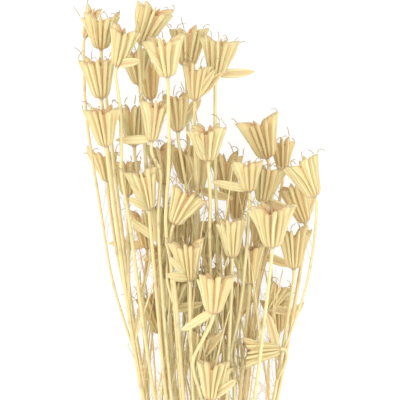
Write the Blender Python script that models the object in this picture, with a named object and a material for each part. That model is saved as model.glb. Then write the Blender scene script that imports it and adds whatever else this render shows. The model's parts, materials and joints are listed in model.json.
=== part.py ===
"""A tied bunch of dried nigella seed pods, lying on a surface.

Each stem is one solid: its straw stalk, its side shoots, and the seed heads that they end in. A
seed head is a star of flat seed pods joined round the stalk, which part and flare towards a beak.
X runs across the bunch, +Y from the tie towards the heads, +Z up from the surface that it lies on.
The origin is the middle of the flat underside of the tie.
"""

import math
import random
from dataclasses import dataclass

import bmesh
import bpy
import numpy as np
from mathutils import Matrix, Vector

MM = 0.001

# The photograph's scale, and where the bunch's middle line and its tie are in the photograph
PIXEL = 0.8 * MM
MIDDLE_COLUMN = 205
TIE_ROW = 612

# Driving sizes of the bunch
TAIL_LENGTH = 105 * MM
STALK_RADIUS = 1.45 * MM
SHOOT_RADIUS = 1.1 * MM
THIN_SHOOT_RADIUS = 0.9 * MM
STALK_SIDES = 5
CLEARANCE = 1.0 * MM

# The tie: turns of twine side by side, flat where they lie on the surface
TIE_INNER_RADIUS = 14.4 * MM
TWINE_DIAMETER = 2.0 * MM
TIE_TURNS = 5
TIE_HEIGHT = 15.6 * MM
TIE_SEGMENTS = 24

# A full-sized seed head, measured from its foot: height and outer radius of each level of a pod
HEAD_LENGTH = 27 * MM
HEAD_SPREAD = 29 * MM
FOOT_RADIUS = 2.3 * MM
BELLY = (2.6 * MM, 6.5 * MM)
PARTING = (20.5 * MM, 12.4 * MM)
LIP = (25.2 * MM, 14.8 * MM)
BEAK = (28.8 * MM, 15.7 * MM)
BELLY_VALLEY = 3.8 * MM
PARTING_VALLEY = 7.0 * MM
LIP_INNER_RADIUS = 4.6 * MM
LIP_SLOPE = 0.5 * MM
PIT_DEPTH = 5.0 * MM
POD_THICKNESS = 3.1 * MM
LIP_THICKNESS = 1.9 * MM

# Balls that stand for a seed head while the stalks are laid out: share of its length, and radius
HEAD_BALLS = ((0.16, 7.4 * MM), (0.45, 10.4 * MM), (0.74, 13.2 * MM), (0.98, 15.6 * MM))

# How the stalks are laid out
LEVEL_STEP = 10 * MM
NECK_LENGTH = 9 * MM
LAYOUT_ROUNDS = 260
HEAD_ROUNDS = 400
STRAIGHT_TOLERANCE = 0.4 * MM
SEED = 7

STRAW = (0.86, 0.71, 0.42, 1.0)
TWINE = (0.62, 0.47, 0.27, 1.0)


@dataclass
class Head:
    """A seed head. Pixels give its place across and along the bunch, read by eye from the photograph."""

    foot: tuple  # column and row where the stalk enters it
    crown: tuple  # column and row of the middle of its open top
    spread: float  # pixels across its open top
    height: float  # millimetres of its foot over the surface, before the heads are set clear
    pods: int
    fork: float = 0.0  # row where its shoot leaves the stem's own stalk; 0 for the stalk itself
    via: tuple = ()  # columns and rows that its shoot passes
    tilt: float = 0.0  # degrees that it looks up from the surface
    fallen: tuple = ()  # pairs of degrees: round the head, and out from its axis
    rests: bool = False  # True for a head that the bunch lies on


# One list for each stem: the head of its own stalk first, then those of its side shoots
STEMS = {
    "stem_01": [Head((101, 49), (101, 17), 37, 62, 8, tilt=6)],
    "stem_02": [
        Head((102, 99), (98, 62), 37, 66, 8, tilt=4),
        Head((84, 36), (91, 12), 17, 40, 4, fork=356, via=((82, 62), (84, 130), (99, 197), (109, 285))),
        Head((106, 181), (103, 154), 27, 15, 6, fork=300, via=((111, 235),), rests=True),
    ],
    "stem_03": [
        Head((107, 147), (102, 110), 35, 70, 8, tilt=8),
        Head((127, 196), (125, 160), 30, 24, 6, fork=322),
    ],
    "stem_04": [
        Head((118, 68), (127, 32), 30, 72, 6, tilt=10),
        Head((146, 249), (142, 214), 28, 26, 6, fork=352),
    ],
    "stem_05": [
        Head((139, 84), (133, 50), 30, 40, 7),
        Head((150, 98), (147, 62), 28, 15, 6, fork=268, rests=True),
        Head((160, 335), (149, 297), 28, 26, 6, fork=410),
        Head((134, 146), (131, 106), 33, 46, 7, fork=262),
    ],
    "stem_06": [
        Head((141, 45), (156, 10), 38, 74, 8, tilt=8),
        Head((161, 244), (163, 210), 27, 48, 6, fork=338),
    ],
    "stem_07": [Head((152, 142), (155, 104), 28, 74, 6, fallen=((200, 100),))],
    "stem_08": [Head((149, 210), (141, 170), 32, 72, 8, tilt=5)],
    "stem_09": [Head((168, 79), (164, 43), 40, 84, 7, tilt=6)],
    "stem_10": [
        Head((187, 66), (190, 24), 40, 44, 8, tilt=2),
        Head((186, 184), (183, 146), 30, 20, 6, fork=300),
    ],
    "stem_11": [
        Head((195, 101), (196, 67), 29, 70, 6, tilt=6),
        Head((178, 132), (176, 96), 30, 58, 6, fork=246),
        Head((194, 326), (195, 292), 26, 24, 6, fork=404),
    ],
    "stem_12": [
        Head((216, 77), (221, 41), 37, 58, 8, tilt=4),
        Head((205, 304), (204, 270), 26, 46, 6, fork=372),
    ],
    "stem_13": [
        Head((208, 161), (207, 129), 40, 82, 7, tilt=10),
        Head((198, 192), (199, 156), 27, 36, 6, fork=300),
    ],
    "stem_14": [
        Head((174, 224), (189, 191), 35, 72, 8, tilt=4),
        Head((163, 184), (160, 146), 30, 44, 6, fork=306),
    ],
    "stem_15": [
        Head((228, 195), (225, 152), 33, 34, 7, tilt=2),
        Head((208, 262), (207, 226), 27, 20, 6, fork=344),
        Head((229, 330), (232, 296), 26, 24, 6, fork=410),
    ],
    "stem_16": [
        Head((249, 192), (247, 163), 31, 68, 6, tilt=4, fallen=((192, 80),)),
        Head((237, 222), (239, 188), 27, 22, 6, fork=330),
    ],
    "stem_17": [
        Head((268, 158), (258, 119), 42, 30, 8, tilt=4),
        Head((262, 258), (262, 222), 27, 20, 6, fork=346),
    ],
    "stem_18": [
        Head((263, 203), (268, 168), 35, 60, 8, tilt=2),
        Head((284, 172), (283, 140), 25, 14, 6, fork=288),
    ],
    "stem_19": [Head((271, 247), (271, 207), 42, 92, 9, tilt=6)],
    "stem_20": [
        Head((294, 269), (293, 231), 33, 50, 8, tilt=2),
        Head((314, 197), (299, 163), 36, 62, 8, fork=358, via=((317, 240), (309, 295))),
        Head((280, 349), (246, 353), 28, 60, 7, fork=382),
    ],
    "stem_21": [
        Head((306, 223), (292, 184), 32, 38, 7),
        Head((279, 335), (277, 303), 28, 15, 7, fork=382, rests=True),
    ],
    "stem_22": [
        Head((190, 280), (187, 243), 33, 72, 8, tilt=5),
        Head((180, 253), (179, 218), 28, 34, 6, fork=344),
    ],
    "stem_23": [Head((213, 312), (215, 276), 38, 76, 6, tilt=4, fallen=((160, 126),))],
    "stem_24": [
        Head((232, 257), (231, 221), 30, 66, 7, tilt=5),
        Head((219, 254), (213, 222), 25, 48, 6, fork=322),
        Head((238, 316), (241, 284), 26, 40, 6, fork=400),
    ],
    "stem_25": [
        Head((249, 284), (247, 245), 35, 64, 7, tilt=3),
        Head((268, 312), (281, 288), 25, 34, 6, fork=366),
    ],
    "stem_26": [
        Head((171, 312), (178, 281), 30, 56, 7, tilt=4),
        Head((166, 278), (162, 244), 26, 30, 6, fork=356),
    ],
    "stem_27": [Head((211, 398), (214, 362), 36, 78, 8, tilt=6)],
    "stem_28": [
        Head((198, 362), (203, 335), 25, 64, 6, tilt=3),
        Head((207, 364), (217, 344), 25, 26, 6, fork=450),
    ],
}


def clear_scene():
    for old in list(bpy.data.objects):
        bpy.data.objects.remove(old, do_unlink=True)


def material(name, colour, roughness):
    made = bpy.data.materials.new(name)
    made.use_nodes = True
    shader = made.node_tree.nodes["Principled BSDF"]
    shader.inputs["Base Color"].default_value = colour
    shader.inputs["Roughness"].default_value = roughness
    shader.inputs["Metallic"].default_value = 0.0
    return made


def place(pixel):
    """Metres across and along the bunch of a column and row of the photograph."""
    column, row = pixel
    return np.array([(column - MIDDLE_COLUMN) * PIXEL, (TIE_ROW - row) * PIXEL])


class Shoot:
    """A stalk or side shoot and its head: what it grows from, where its head is, and the head's pods."""

    def __init__(self, stem, head, parent, dice):
        self.stem = stem
        self.head = head
        self.parent = parent
        self.pods = grown_pods(head.pods, dice)
        foot, crown = place(head.foot), place(head.crown)
        reach = crown - foot
        tilt = math.radians(head.tilt)
        flat = reach / np.linalg.norm(reach)
        self.axis = np.array([flat[0] * math.cos(tilt), flat[1] * math.cos(tilt), math.sin(tilt)])
        self.stretch = min(max(np.linalg.norm(reach) / HEAD_LENGTH, 0.86), 1.15)
        self.girth = head.spread * PIXEL / HEAD_SPREAD
        self.foot = np.array([foot[0], foot[1], head.height * MM])
        if parent is None:
            self.radius = STALK_RADIUS
        elif head.via and not head.rests:
            self.radius = THIN_SHOOT_RADIUS
        else:
            self.radius = SHOOT_RADIUS

    def balls(self):
        """Centres and radii of the balls that stand for the head."""
        for share, radius in HEAD_BALLS:
            yield self.foot + self.axis * share * HEAD_LENGTH * self.stretch, radius * self.girth
        for compass, droop in self.head.fallen:
            way = self.fallen_way(compass, droop)
            for share in (0.45, 0.8):
                yield self.foot + way * share * HEAD_LENGTH, 5.0 * MM

    def fallen_way(self, compass, droop):
        """Which way a fallen pod points."""
        out, down = math.radians(compass), math.radians(droop)
        side, top = head_frame(self.axis)
        round_axis = side * math.cos(out) + top * math.sin(out)
        return self.axis * math.cos(down) + round_axis * math.sin(down)


def head_frame(axis):
    """Two unit vectors square to a head's axis: one level with the surface, one looking up."""
    side = np.cross(axis, (0.0, 0.0, 1.0))
    side /= np.linalg.norm(side)
    return side, np.cross(side, axis)


def grown_pods(count, dice):
    """For each pod of a head, which way round it points, and how far and how high it reaches for its kind."""
    turn = 2 * math.pi / count
    start = dice.uniform(0, turn)
    compass = [start + turn * (k + dice.uniform(-0.12, 0.12)) for k in range(count)]
    reach = [dice.uniform(0.86, 1.06) for _ in range(count)]
    tall = [dice.uniform(0.93, 1.05) for _ in range(count)]
    return list(zip(compass, reach, tall))


def in_head(shoot, compass, radius, aside, height):
    """A place in a head's own frame, with +Z along its axis and its foot at the origin."""
    return (
        (radius * math.cos(compass) - aside * math.sin(compass)) * shoot.girth,
        (radius * math.sin(compass) + aside * math.cos(compass)) * shoot.girth,
        height * shoot.stretch,
    )


def settle(shoot):
    """Lowers or lifts a head that the bunch lies on until its lowest corner is on the surface."""
    side, top = head_frame(shoot.axis)
    drops = []
    for compass, reach, tall in shoot.pods:
        corners = [(PARTING[1], 0.5 * POD_THICKNESS, PARTING[0])]
        corners.append((LIP[1] * reach, 0.5 * LIP_THICKNESS, LIP[0] * tall))
        corners.append((BEAK[1] * reach, 0.0, BEAK[0] * tall))
        for radius, aside, height in corners:
            for lean in (-aside, aside):
                x, y, z = in_head(shoot, compass, radius, lean, height)
                drops.append(x * side[2] + y * top[2] + z * shoot.axis[2])
    shoot.foot[2] = -min(drops)


def all_shoots():
    """The stalks and side shoots of every stem, each stem's own stalk before its side shoots."""
    dice = random.Random(SEED)
    made = []
    for stem, heads in STEMS.items():
        parent = None
        for head in heads:
            made.append(Shoot(stem, head, parent, dice))
            parent = parent if parent is not None else len(made) - 1
    set_heads_clear(made)
    for shoot in made:
        if shoot.head.rests:
            settle(shoot)
    return made


def set_heads_clear(shoots):
    """Moves heads up or down until their balls are apart; a head that the bunch lies on stays low."""
    owner, centre, radius = [], [], []
    for index, shoot in enumerate(shoots):
        for at, size in shoot.balls():
            owner.append(index)
            centre.append(at)
            radius.append(size)
    owner, centre, radius = np.array(owner), np.array(centre), np.array(radius)
    apart = radius[:, None] + radius[None, :] + CLEARANCE
    across = ((centre[:, None, :2] - centre[None, :, :2]) ** 2).sum(-1)
    need = np.sqrt(np.maximum(apart**2 - across, 0.0))
    need[owner[:, None] == owner[None, :]] = 0.0
    fixed = np.array([shoot.head.rests for shoot in shoots])
    lift = np.zeros(len(shoots))
    for _ in range(HEAD_ROUNDS):
        level = centre[:, 2] + lift[owner]
        gap = level[:, None] - level[None, :]
        way = np.where(gap >= 0, 1.0, -1.0)
        push = np.where(need > abs(gap), (need - abs(gap)) * way, 0.0)
        np.fill_diagonal(push, 0.0)
        up = np.zeros(len(shoots))
        down = np.zeros(len(shoots))
        np.maximum.at(up, owner, push.max(axis=1))
        np.minimum.at(down, owner, push.min(axis=1))
        lift += np.where(fixed, 0.0, 0.3 * (up + down))
        floor = np.zeros(len(shoots))
        np.maximum.at(floor, owner, radius + 2.0 * MM - (centre[:, 2] + lift[owner]))
        lift += np.where(fixed, 0.0, np.maximum(floor, 0.0))
    for shoot, by in zip(shoots, lift):
        shoot.foot[2] += by


def smooth_way(points, count):
    """Points at even shares of a curve through a few points, as functions of their distance along Y."""
    points = np.array(points)
    along = points[:, 1]
    wanted = np.linspace(along[0], along[-1], count)
    slopes = np.gradient(points, along, axis=0, edge_order=1)
    out = []
    for y in wanted:
        k = min(np.searchsorted(along, y, side="right") - 1, len(along) - 2)
        run = along[k + 1] - along[k]
        t = (y - along[k]) / run
        out.append(
            (2 * t**3 - 3 * t**2 + 1) * points[k]
            + (t**3 - 2 * t**2 + t) * run * slopes[k]
            + (3 * t**2 - 2 * t**3) * points[k + 1]
            + (t**3 - t**2) * run * slopes[k + 1]
        )
    return np.array(out)


def level_of(y):
    return np.rint((y + TAIL_LENGTH) / LEVEL_STEP).astype(int)


def places_in_tie(stalks):
    """Where each stem's own stalk goes through the tie, across and up, spread as its head is but set apart."""
    at = np.array([[0.14 * shoot.foot[0], 0.16 * (shoot.foot[2] - 45 * MM)] for shoot in stalks])
    turn = 2.4 * np.arange(len(at))
    at += 0.4 * MM * np.column_stack([np.cos(turn), np.sin(turn)])
    room = TIE_INNER_RADIUS - CLEARANCE - STALK_RADIUS
    for _ in range(LAYOUT_ROUNDS):
        gap = at[:, None] - at[None, :]
        far = np.linalg.norm(gap, axis=-1)
        np.fill_diagonal(far, 1.0)
        short = np.maximum(2 * STALK_RADIUS + CLEARANCE - far, 0.0)
        at += (0.4 * (short / far)[..., None] * gap).sum(axis=1)
        at *= np.minimum(room / np.linalg.norm(at, axis=1), 1.0)[:, None]
    return at + np.array([0.0, TIE_HEIGHT])


def first_layout(shoots):
    """Where each shoot crosses each level: an array of shoot, level, and place across and up; NaN if absent."""
    levels = max(level_of(shoot.foot[1]) for shoot in shoots) + 1
    ways = np.full((len(shoots), levels, 2), np.nan)
    places = iter(places_in_tie([shoot for shoot in shoots if shoot.parent is None]))
    for index, shoot in enumerate(shoots):
        neck = shoot.axis + np.array([0.0, 0.9, 0.0])
        end = shoot.foot - neck / np.linalg.norm(neck) * NECK_LENGTH
        last = level_of(end[1])
        if shoot.parent is None:
            across, up = next(places)
            tie = np.array([across, 0.0, up])
            fan = (end - tie) / end[1]
            bend = tie + np.array([fan[0] * 1.3, 1.0, fan[2] * 1.15]) * 0.42 * end[1]
            tail = tie - np.array([-0.25 * tie[0], TAIL_LENGTH, -0.12 * (tie[2] - TIE_HEIGHT)])
            route = [tail, tie, bend, end]
            start = 0
        else:
            start = level_of(place((0, shoot.head.fork))[1])
            root = ways[shoot.parent, start]
            along = start * LEVEL_STEP - TAIL_LENGTH
            route = [np.array([root[0], along, root[1]])]
            for pixel in reversed(shoot.head.via):
                across, y = place(pixel)
                share = (y - along) / (end[1] - along)
                route.append(np.array([across, y, root[1] + share * (end[2] - root[1])]))
            route.append(end)
        way = smooth_way(route, last - start + 1)
        ways[index, start : last + 1] = way[:, [0, 2]]
    return ways


def over_or_under(ways, apart):
    """For each pair of shoots and level, 1 where the first passes over the second and -1 where it passes under."""
    gap = np.nan_to_num(ways[:, None] - ways[None, :])
    height = np.where(np.abs(gap[..., 0]) < 2.0 * apart[..., None], gap[..., 1], 0.0)
    nearby = np.pad(height, ((0, 0), (0, 0), (2, 2)))
    over = np.sign(sum(nearby[..., k : k + ways.shape[1]] for k in range(5)))
    order = np.sign(np.arange(len(ways))[:, None] - np.arange(len(ways))[None, :])
    return np.where(over == 0, order[..., None], over)


def bend_clear(shoots, ways):
    """Bends the stalks clear of each other and of the heads, level by level, and keeps them smooth."""
    levels = ways.shape[1]
    heights = np.arange(levels) * LEVEL_STEP - TAIL_LENGTH
    radius = np.array([shoot.radius for shoot in shoots])
    apart = radius[:, None] + radius[None, :] + CLEARANCE
    present = ~np.isnan(ways[:, :, 0])
    together = present[:, None, :] & present[None, :, :]
    together[np.arange(len(shoots)), np.arange(len(shoots))] = False
    for index, shoot in enumerate(shoots):
        if shoot.parent is not None:
            root = int(np.argmax(present[index]))
            family = [shoot.parent] + [k for k, s in enumerate(shoots) if s.parent == shoot.parent]
            for other in family:
                together[index, other, : root + 3] = False
                together[other, index, : root + 3] = False
    balls = [(k, at, size) for k, shoot in enumerate(shoots) for at, size in shoot.balls()]
    owner = np.array([k for k, _, _ in balls])
    centre = np.array([at for _, at, _ in balls])
    size = np.array([size for _, _, size in balls])
    beside = level_of(centre[:, 1])[:, None] + np.arange(-2, 3)
    rise = beside * LEVEL_STEP - TAIL_LENGTH - centre[:, 1][:, None]
    beside = np.clip(beside, 0, levels - 1)
    reach = size[:, None, None] + radius[None, :, None] + CLEARANCE
    wide = np.sqrt(np.maximum(reach**2 - rise[:, None] ** 2, 0.0))
    wide = np.where(owner[:, None, None] == np.arange(len(shoots))[None, :, None], 0.0, wide)
    wide = np.where(present[:, beside].transpose(1, 0, 2), wide, 0.0)
    cells = np.broadcast_arrays(np.arange(len(shoots))[None, :, None], beside[:, None, :])
    first, last = present.argmax(1), levels - 1 - present[:, ::-1].argmax(1)
    held = np.zeros_like(present)
    held[np.arange(len(shoots)), last] = True
    wish = ways.copy()
    for turn in range(LAYOUT_ROUNDS):
        settled = turn > LAYOUT_ROUNDS - 25
        if turn % 20 == 0:
            over = over_or_under(ways, apart)
        gap = np.nan_to_num(ways[:, None] - ways[None, :])
        gap[..., 1] = over * np.maximum(over * gap[..., 1], -0.2 * MM)
        far = np.where(together, np.linalg.norm(gap, axis=-1), 1.0)
        short = np.maximum(apart[:, :, None] - far, 0.0)
        lean = gap / np.maximum(far, 1e-6)[..., None]
        lean[..., 1] += 0.5 * over
        step = (0.5 * short[..., None] * lean).sum(axis=1)
        gap = np.nan_to_num(ways[:, beside].transpose(1, 0, 2, 3) - centre[:, None, None, [0, 2]])
        far = np.linalg.norm(gap, axis=-1)
        short = np.maximum(wide - far, 0.0)
        lean = gap / np.maximum(far, 1e-6)[..., None]
        side = np.zeros((len(shoots), len(shoots), 2))
        np.add.at(side, owner, (short[..., None] * lean).sum(axis=2))
        side /= np.maximum(np.linalg.norm(side, axis=-1), 1e-9)[..., None]
        push = short[..., None] * (0.5 * lean + 0.5 * side[owner][:, :, None])
        most, least = np.zeros_like(step), np.zeros_like(step)
        np.maximum.at(most, tuple(cells), push)
        np.minimum.at(least, tuple(cells), push)
        step += most + least
        step += 0.0 if settled else 0.02 * np.nan_to_num(wish - ways)
        step[held] = 0.0
        ways = ways + np.clip(step, -3 * MM, 3 * MM)
        if not settled:
            bent = np.zeros_like(ways)
            bent[:, 1:-1] = 0.5 * (ways[:, 2:] + ways[:, :-2]) - ways[:, 1:-1]
            bent = np.nan_to_num(bent)
            bent[held] = 0.0
            ways = ways + 0.35 * bent
        for index, shoot in enumerate(shoots):
            if shoot.parent is not None:
                ways[index, first[index]] = ways[shoot.parent, first[index]]
        ways[..., 1] = np.maximum(ways[..., 1], radius[:, None] + 1.0 * MM)
        inside = abs(heights) < 1.2 * LEVEL_STEP
        room = TIE_INNER_RADIUS - CLEARANCE - radius
        out = ways[:, inside] - np.array([0.0, TIE_HEIGHT])
        far = np.linalg.norm(out, axis=-1)
        ways[:, inside] -= out * np.maximum(1.0 - room[:, None] / far, 0.0)[..., None]
    return ways


def needed_points(points):
    """Leaves out the points of a line that lie straight between their neighbours."""
    if len(points) < 3:
        return points
    start, end = points[0], points[-1]
    run = end - start
    off = points[1:-1] - start
    off = off - np.outer(off @ run / (run @ run), run)
    far = np.linalg.norm(off, axis=1)
    worst = int(far.argmax()) + 1
    if far[worst - 1] < STRAIGHT_TOLERANCE:
        return np.array([start, end])
    return np.vstack([needed_points(points[: worst + 1])[:-1], needed_points(points[worst:])])


def centre_line(shoot, way):
    """The shoot's line in space, ending inside its head."""
    present = ~np.isnan(way[:, 0])
    heights = np.arange(len(way)) * LEVEL_STEP - TAIL_LENGTH
    line = np.column_stack([way[present, 0], heights[present], way[present, 1]])
    line = needed_points(line)
    sunk = shoot.foot + shoot.axis * 2.8 * MM
    return np.vstack([line, shoot.foot - shoot.axis * 1.5 * MM, sunk])


def tube(line, radius, tip_radius):
    """A closed tube of a few flat sides along a line, swept ring by ring."""
    bm = bmesh.new()
    bmesh.ops.create_circle(bm, cap_ends=True, segments=STALK_SIDES, radius=1.0)
    ring = list(bm.edges)
    before = Matrix.Identity(4)
    for k, point in enumerate(line):
        ahead = line[min(k + 1, len(line) - 1)] - line[max(k - 1, 0)]
        way = Vector(ahead).normalized()
        side = way.cross(Vector((0, 0, 1))).normalized()
        size = radius + (tip_radius - radius) * k / (len(line) - 1)
        turn = Matrix((side, way.cross(side), way)).transposed().to_4x4()
        now = Matrix.Translation(Vector(point)) @ turn @ Matrix.Diagonal((size, size, size, 1))
        moved = list(bm.verts)
        if k:
            grown = bmesh.ops.extrude_edge_only(bm, edges=ring)["geom"]
            moved = [item for item in grown if isinstance(item, bmesh.types.BMVert)]
            ring = [item for item in grown if isinstance(item, bmesh.types.BMEdge)]
            ring = [edge for edge in ring if all(vert in moved for vert in edge.verts)]
        bmesh.ops.transform(bm, matrix=now @ before.inverted(), verts=moved)
        before = now
    bmesh.ops.edgeloop_fill(bm, edges=ring)
    return finished(bm)


def finished(bm):
    bmesh.ops.recalc_face_normals(bm, faces=bm.faces)
    mesh = bpy.data.meshes.new("piece")
    bm.to_mesh(mesh)
    bm.free()
    return mesh


def star_of_pods(shoot):
    """The closed star of a head's pods in its own frame, with +Z along its axis and its foot at the origin."""
    pods = shoot.head.pods
    compass = [pod[0] for pod in shoot.pods]
    bm = bmesh.new()
    spoke = bm.verts.layers.int.new("spoke")
    bmesh.ops.create_circle(bm, cap_ends=True, segments=3 * pods, radius=FOOT_RADIUS)
    for index, vert in enumerate(bm.verts):
        vert[spoke] = index

    def spread(verts, level, valley, thickness):
        height, outer = level
        for vert in verts:
            pod, role = divmod(vert[spoke], 3)
            if role == 0:
                behind = compass[pod - 1] - (2 * math.pi if pod == 0 else 0)
                vert.co = in_head(shoot, 0.5 * (compass[pod] + behind), valley, 0.0, height)
            else:
                lean = 0.5 * thickness if role == 2 else -0.5 * thickness
                vert.co = in_head(shoot, compass[pod], outer, lean, height)

    spread(bm.verts, (0.0, FOOT_RADIUS), FOOT_RADIUS, 0.4 * POD_THICKNESS)
    ring = list(bm.edges)
    for level, valley in ((BELLY, BELLY_VALLEY), (PARTING, PARTING_VALLEY)):
        grown = bmesh.ops.extrude_edge_only(bm, edges=ring)["geom"]
        moved = [item for item in grown if isinstance(item, bmesh.types.BMVert)]
        ring = [e for e in grown if isinstance(e, bmesh.types.BMEdge) and all(v in moved for v in e.verts)]
        spread(moved, level, valley, POD_THICKNESS)
    by_spoke = {vert[spoke]: vert for vert in moved}
    floor = bm.faces.new([by_spoke[3 * pod] for pod in range(pods)])
    pit = bmesh.ops.poke(bm, faces=[floor])["verts"][0]
    pit.co = (0, 0, (PARTING[0] - PIT_DEPTH) * shoot.stretch)
    for pod, (angle, reach, tall) in enumerate(shoot.pods):
        corners = [3 * pod, 3 * pod + 1, 3 * pod + 2, (3 * pod + 3) % (3 * pods)]
        face = bm.faces.new([by_spoke[c] for c in corners])
        face = bmesh.ops.extrude_discrete_faces(bm, faces=[face])["faces"][0]
        for vert in face.verts:
            role = corners.index(vert[spoke])
            lean = -0.5 * LIP_THICKNESS if role < 2 else 0.5 * LIP_THICKNESS
            if role in (0, 3):
                vert.co = in_head(shoot, angle, LIP_INNER_RADIUS * reach, lean, LIP[0] * tall - LIP_SLOPE)
            else:
                vert.co = in_head(shoot, angle, LIP[1] * reach, lean, LIP[0] * tall)
        tip = bmesh.ops.poke(bm, faces=[face])["verts"][0]
        tip.co = in_head(shoot, angle, BEAK[1] * reach, 0.0, BEAK[0] * tall)
    return bm


def fallen_pod(way, side):
    """A pod that has dropped open, as a closed blade in space with its root at the origin."""
    along, broad = Vector(way), Vector(side)
    thin = along.cross(broad).normalized()
    broad = thin.cross(along)
    bm = bmesh.new()
    bmesh.ops.create_circle(bm, cap_ends=True, segments=4, radius=1.0)
    face = bm.faces[:][0]
    corners = [(-1, -1), (1, -1), (1, 1), (-1, 1)]
    outline = ((0.5, 1.6), (4.0, 3.6), (13.0, 4.0), (21.0, 3.4), (26.5, 2.6))
    for k, (reach, half) in enumerate(outline):
        if k:
            face = bmesh.ops.extrude_discrete_faces(bm, faces=[face])["faces"][0]
        thick = 1.1 if k < 3 else 0.7
        for vert, (b, t) in zip(face.verts, corners):
            vert.co = (along * reach + broad * half * b + thin * thick * t) * MM
    tip = bmesh.ops.poke(bm, faces=[face])["verts"][0]
    tip.co = (along * 31.0 + broad * 2.0) * MM
    bmesh.ops.holes_fill(bm, edges=bm.edges)
    return bm


def head_meshes(shoot):
    """The meshes of a head in space: its star of pods, and any fallen pods."""
    side, top = head_frame(shoot.axis)
    turn = Matrix((Vector(side), Vector(top), Vector(shoot.axis))).transposed().to_4x4()
    shift = Matrix.Translation(Vector(shoot.foot))
    star = star_of_pods(shoot)
    bmesh.ops.transform(star, matrix=shift @ turn, verts=star.verts)
    made = [finished(star)]
    for compass, droop in shoot.head.fallen:
        blade = fallen_pod(shoot.fallen_way(compass, droop), shoot.axis)
        bmesh.ops.transform(blade, matrix=shift @ Matrix.Translation(Vector(shoot.axis) * 2.5 * MM), verts=blade.verts)
        made.append(finished(blade))
    return made


def joined(name, meshes, finish):
    """One object whose solid is the union of closed meshes that overlap."""
    node = bpy.data.objects.new(name, meshes[0])
    bpy.context.scene.collection.objects.link(node)
    repeats = bpy.data.collections.new(name + "_repeats")
    bpy.context.scene.collection.children.link(repeats)
    for mesh in meshes[1:]:
        repeats.objects.link(bpy.data.objects.new(name + "_repeat", mesh))
    union = node.modifiers.new("union", "BOOLEAN")
    union.operation = "UNION"
    union.operand_type = "COLLECTION"
    union.collection = repeats
    union.solver = "EXACT"
    bpy.context.view_layer.update()
    solid = bpy.data.meshes.new_from_object(node.evaluated_get(bpy.context.evaluated_depsgraph_get()))
    node.modifiers.clear()
    node.data = solid
    for repeat in list(repeats.objects):
        bpy.data.objects.remove(repeat, do_unlink=True)
    bpy.data.collections.remove(repeats)
    solid.materials.clear()
    solid.materials.append(finish)
    return node


def make_tie(finish):
    """Turns of twine wound side by side round the stalks, as one ring with a flat underside."""
    bm = bmesh.new()
    outer = TIE_INNER_RADIUS + TWINE_DIAMETER
    half = 0.5 * TIE_TURNS * TWINE_DIAMETER
    profile = [(TIE_INNER_RADIUS, half - 0.3 * TWINE_DIAMETER), (TIE_INNER_RADIUS, -half + 0.3 * TWINE_DIAMETER)]
    for turn in range(TIE_TURNS):
        middle = (turn + 0.5) * TWINE_DIAMETER - half
        if turn == 0:
            profile.append((outer - 0.5 * TWINE_DIAMETER, middle - 0.5 * TWINE_DIAMETER))
        profile.append((outer, middle - 0.2 * TWINE_DIAMETER))
        profile.append((outer, middle + 0.2 * TWINE_DIAMETER))
        deep = 0.3 if turn < TIE_TURNS - 1 else 0.5
        profile.append((outer - deep * TWINE_DIAMETER, middle + 0.5 * TWINE_DIAMETER))
    verts = [bm.verts.new((radius, along, 0)) for radius, along in profile]
    edges = [bm.edges.new((verts[k - 1], verts[k])) for k in range(len(verts))]
    bmesh.ops.spin(
        bm,
        geom=verts + edges,
        cent=(0, 0, 0),
        axis=(0, 1, 0),
        angle=2 * math.pi,
        steps=TIE_SEGMENTS,
        use_merge=True,
    )
    bmesh.ops.remove_doubles(bm, verts=bm.verts, dist=0.01 * MM)
    bmesh.ops.translate(bm, vec=(0, 0, TIE_HEIGHT), verts=bm.verts)
    cut = bmesh.ops.bisect_plane(
        bm,
        geom=bm.verts[:] + bm.edges[:] + bm.faces[:],
        plane_co=(0, 0, 0),
        plane_no=(0, 0, -1),
        clear_outer=True,
    )
    rim = [item for item in cut["geom_cut"] if isinstance(item, bmesh.types.BMEdge)]
    bmesh.ops.edgeloop_fill(bm, edges=rim)
    mesh = finished(bm)
    mesh.materials.append(finish)
    tie = bpy.data.objects.new("tie", mesh)
    bpy.context.scene.collection.objects.link(tie)


def make_bunch():
    clear_scene()
    straw = material("straw", STRAW, 0.7)
    twine = material("twine", TWINE, 0.85)
    shoots = all_shoots()
    heads = [head_meshes(shoot) for shoot in shoots]
    ways = bend_clear(shoots, first_layout(shoots))
    for stem in STEMS:
        meshes = []
        for index, shoot in enumerate(shoots):
            if shoot.stem == stem:
                line = centre_line(shoot, ways[index])
                tip = min(shoot.radius, SHOOT_RADIUS)
                meshes.append(tube(line, shoot.radius, tip))
                meshes.extend(heads[index])
        joined(stem, meshes, straw)
    make_tie(twine)


make_bunch()
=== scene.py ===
"""The looks of a tied bunch of dried nigella seed pods, lying on a pale floor.

Each stem's plain solid is replaced by one finer piece that grows along the same lines: ribbed stalks,
seed heads of flat veined pods with beaks and thread-like styles, and what is left of the dry leaves.
"""

import json
import math
import random
from dataclasses import dataclass

import bmesh
import bpy
import numpy as np
from mathutils import Matrix, Vector, noise

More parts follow.
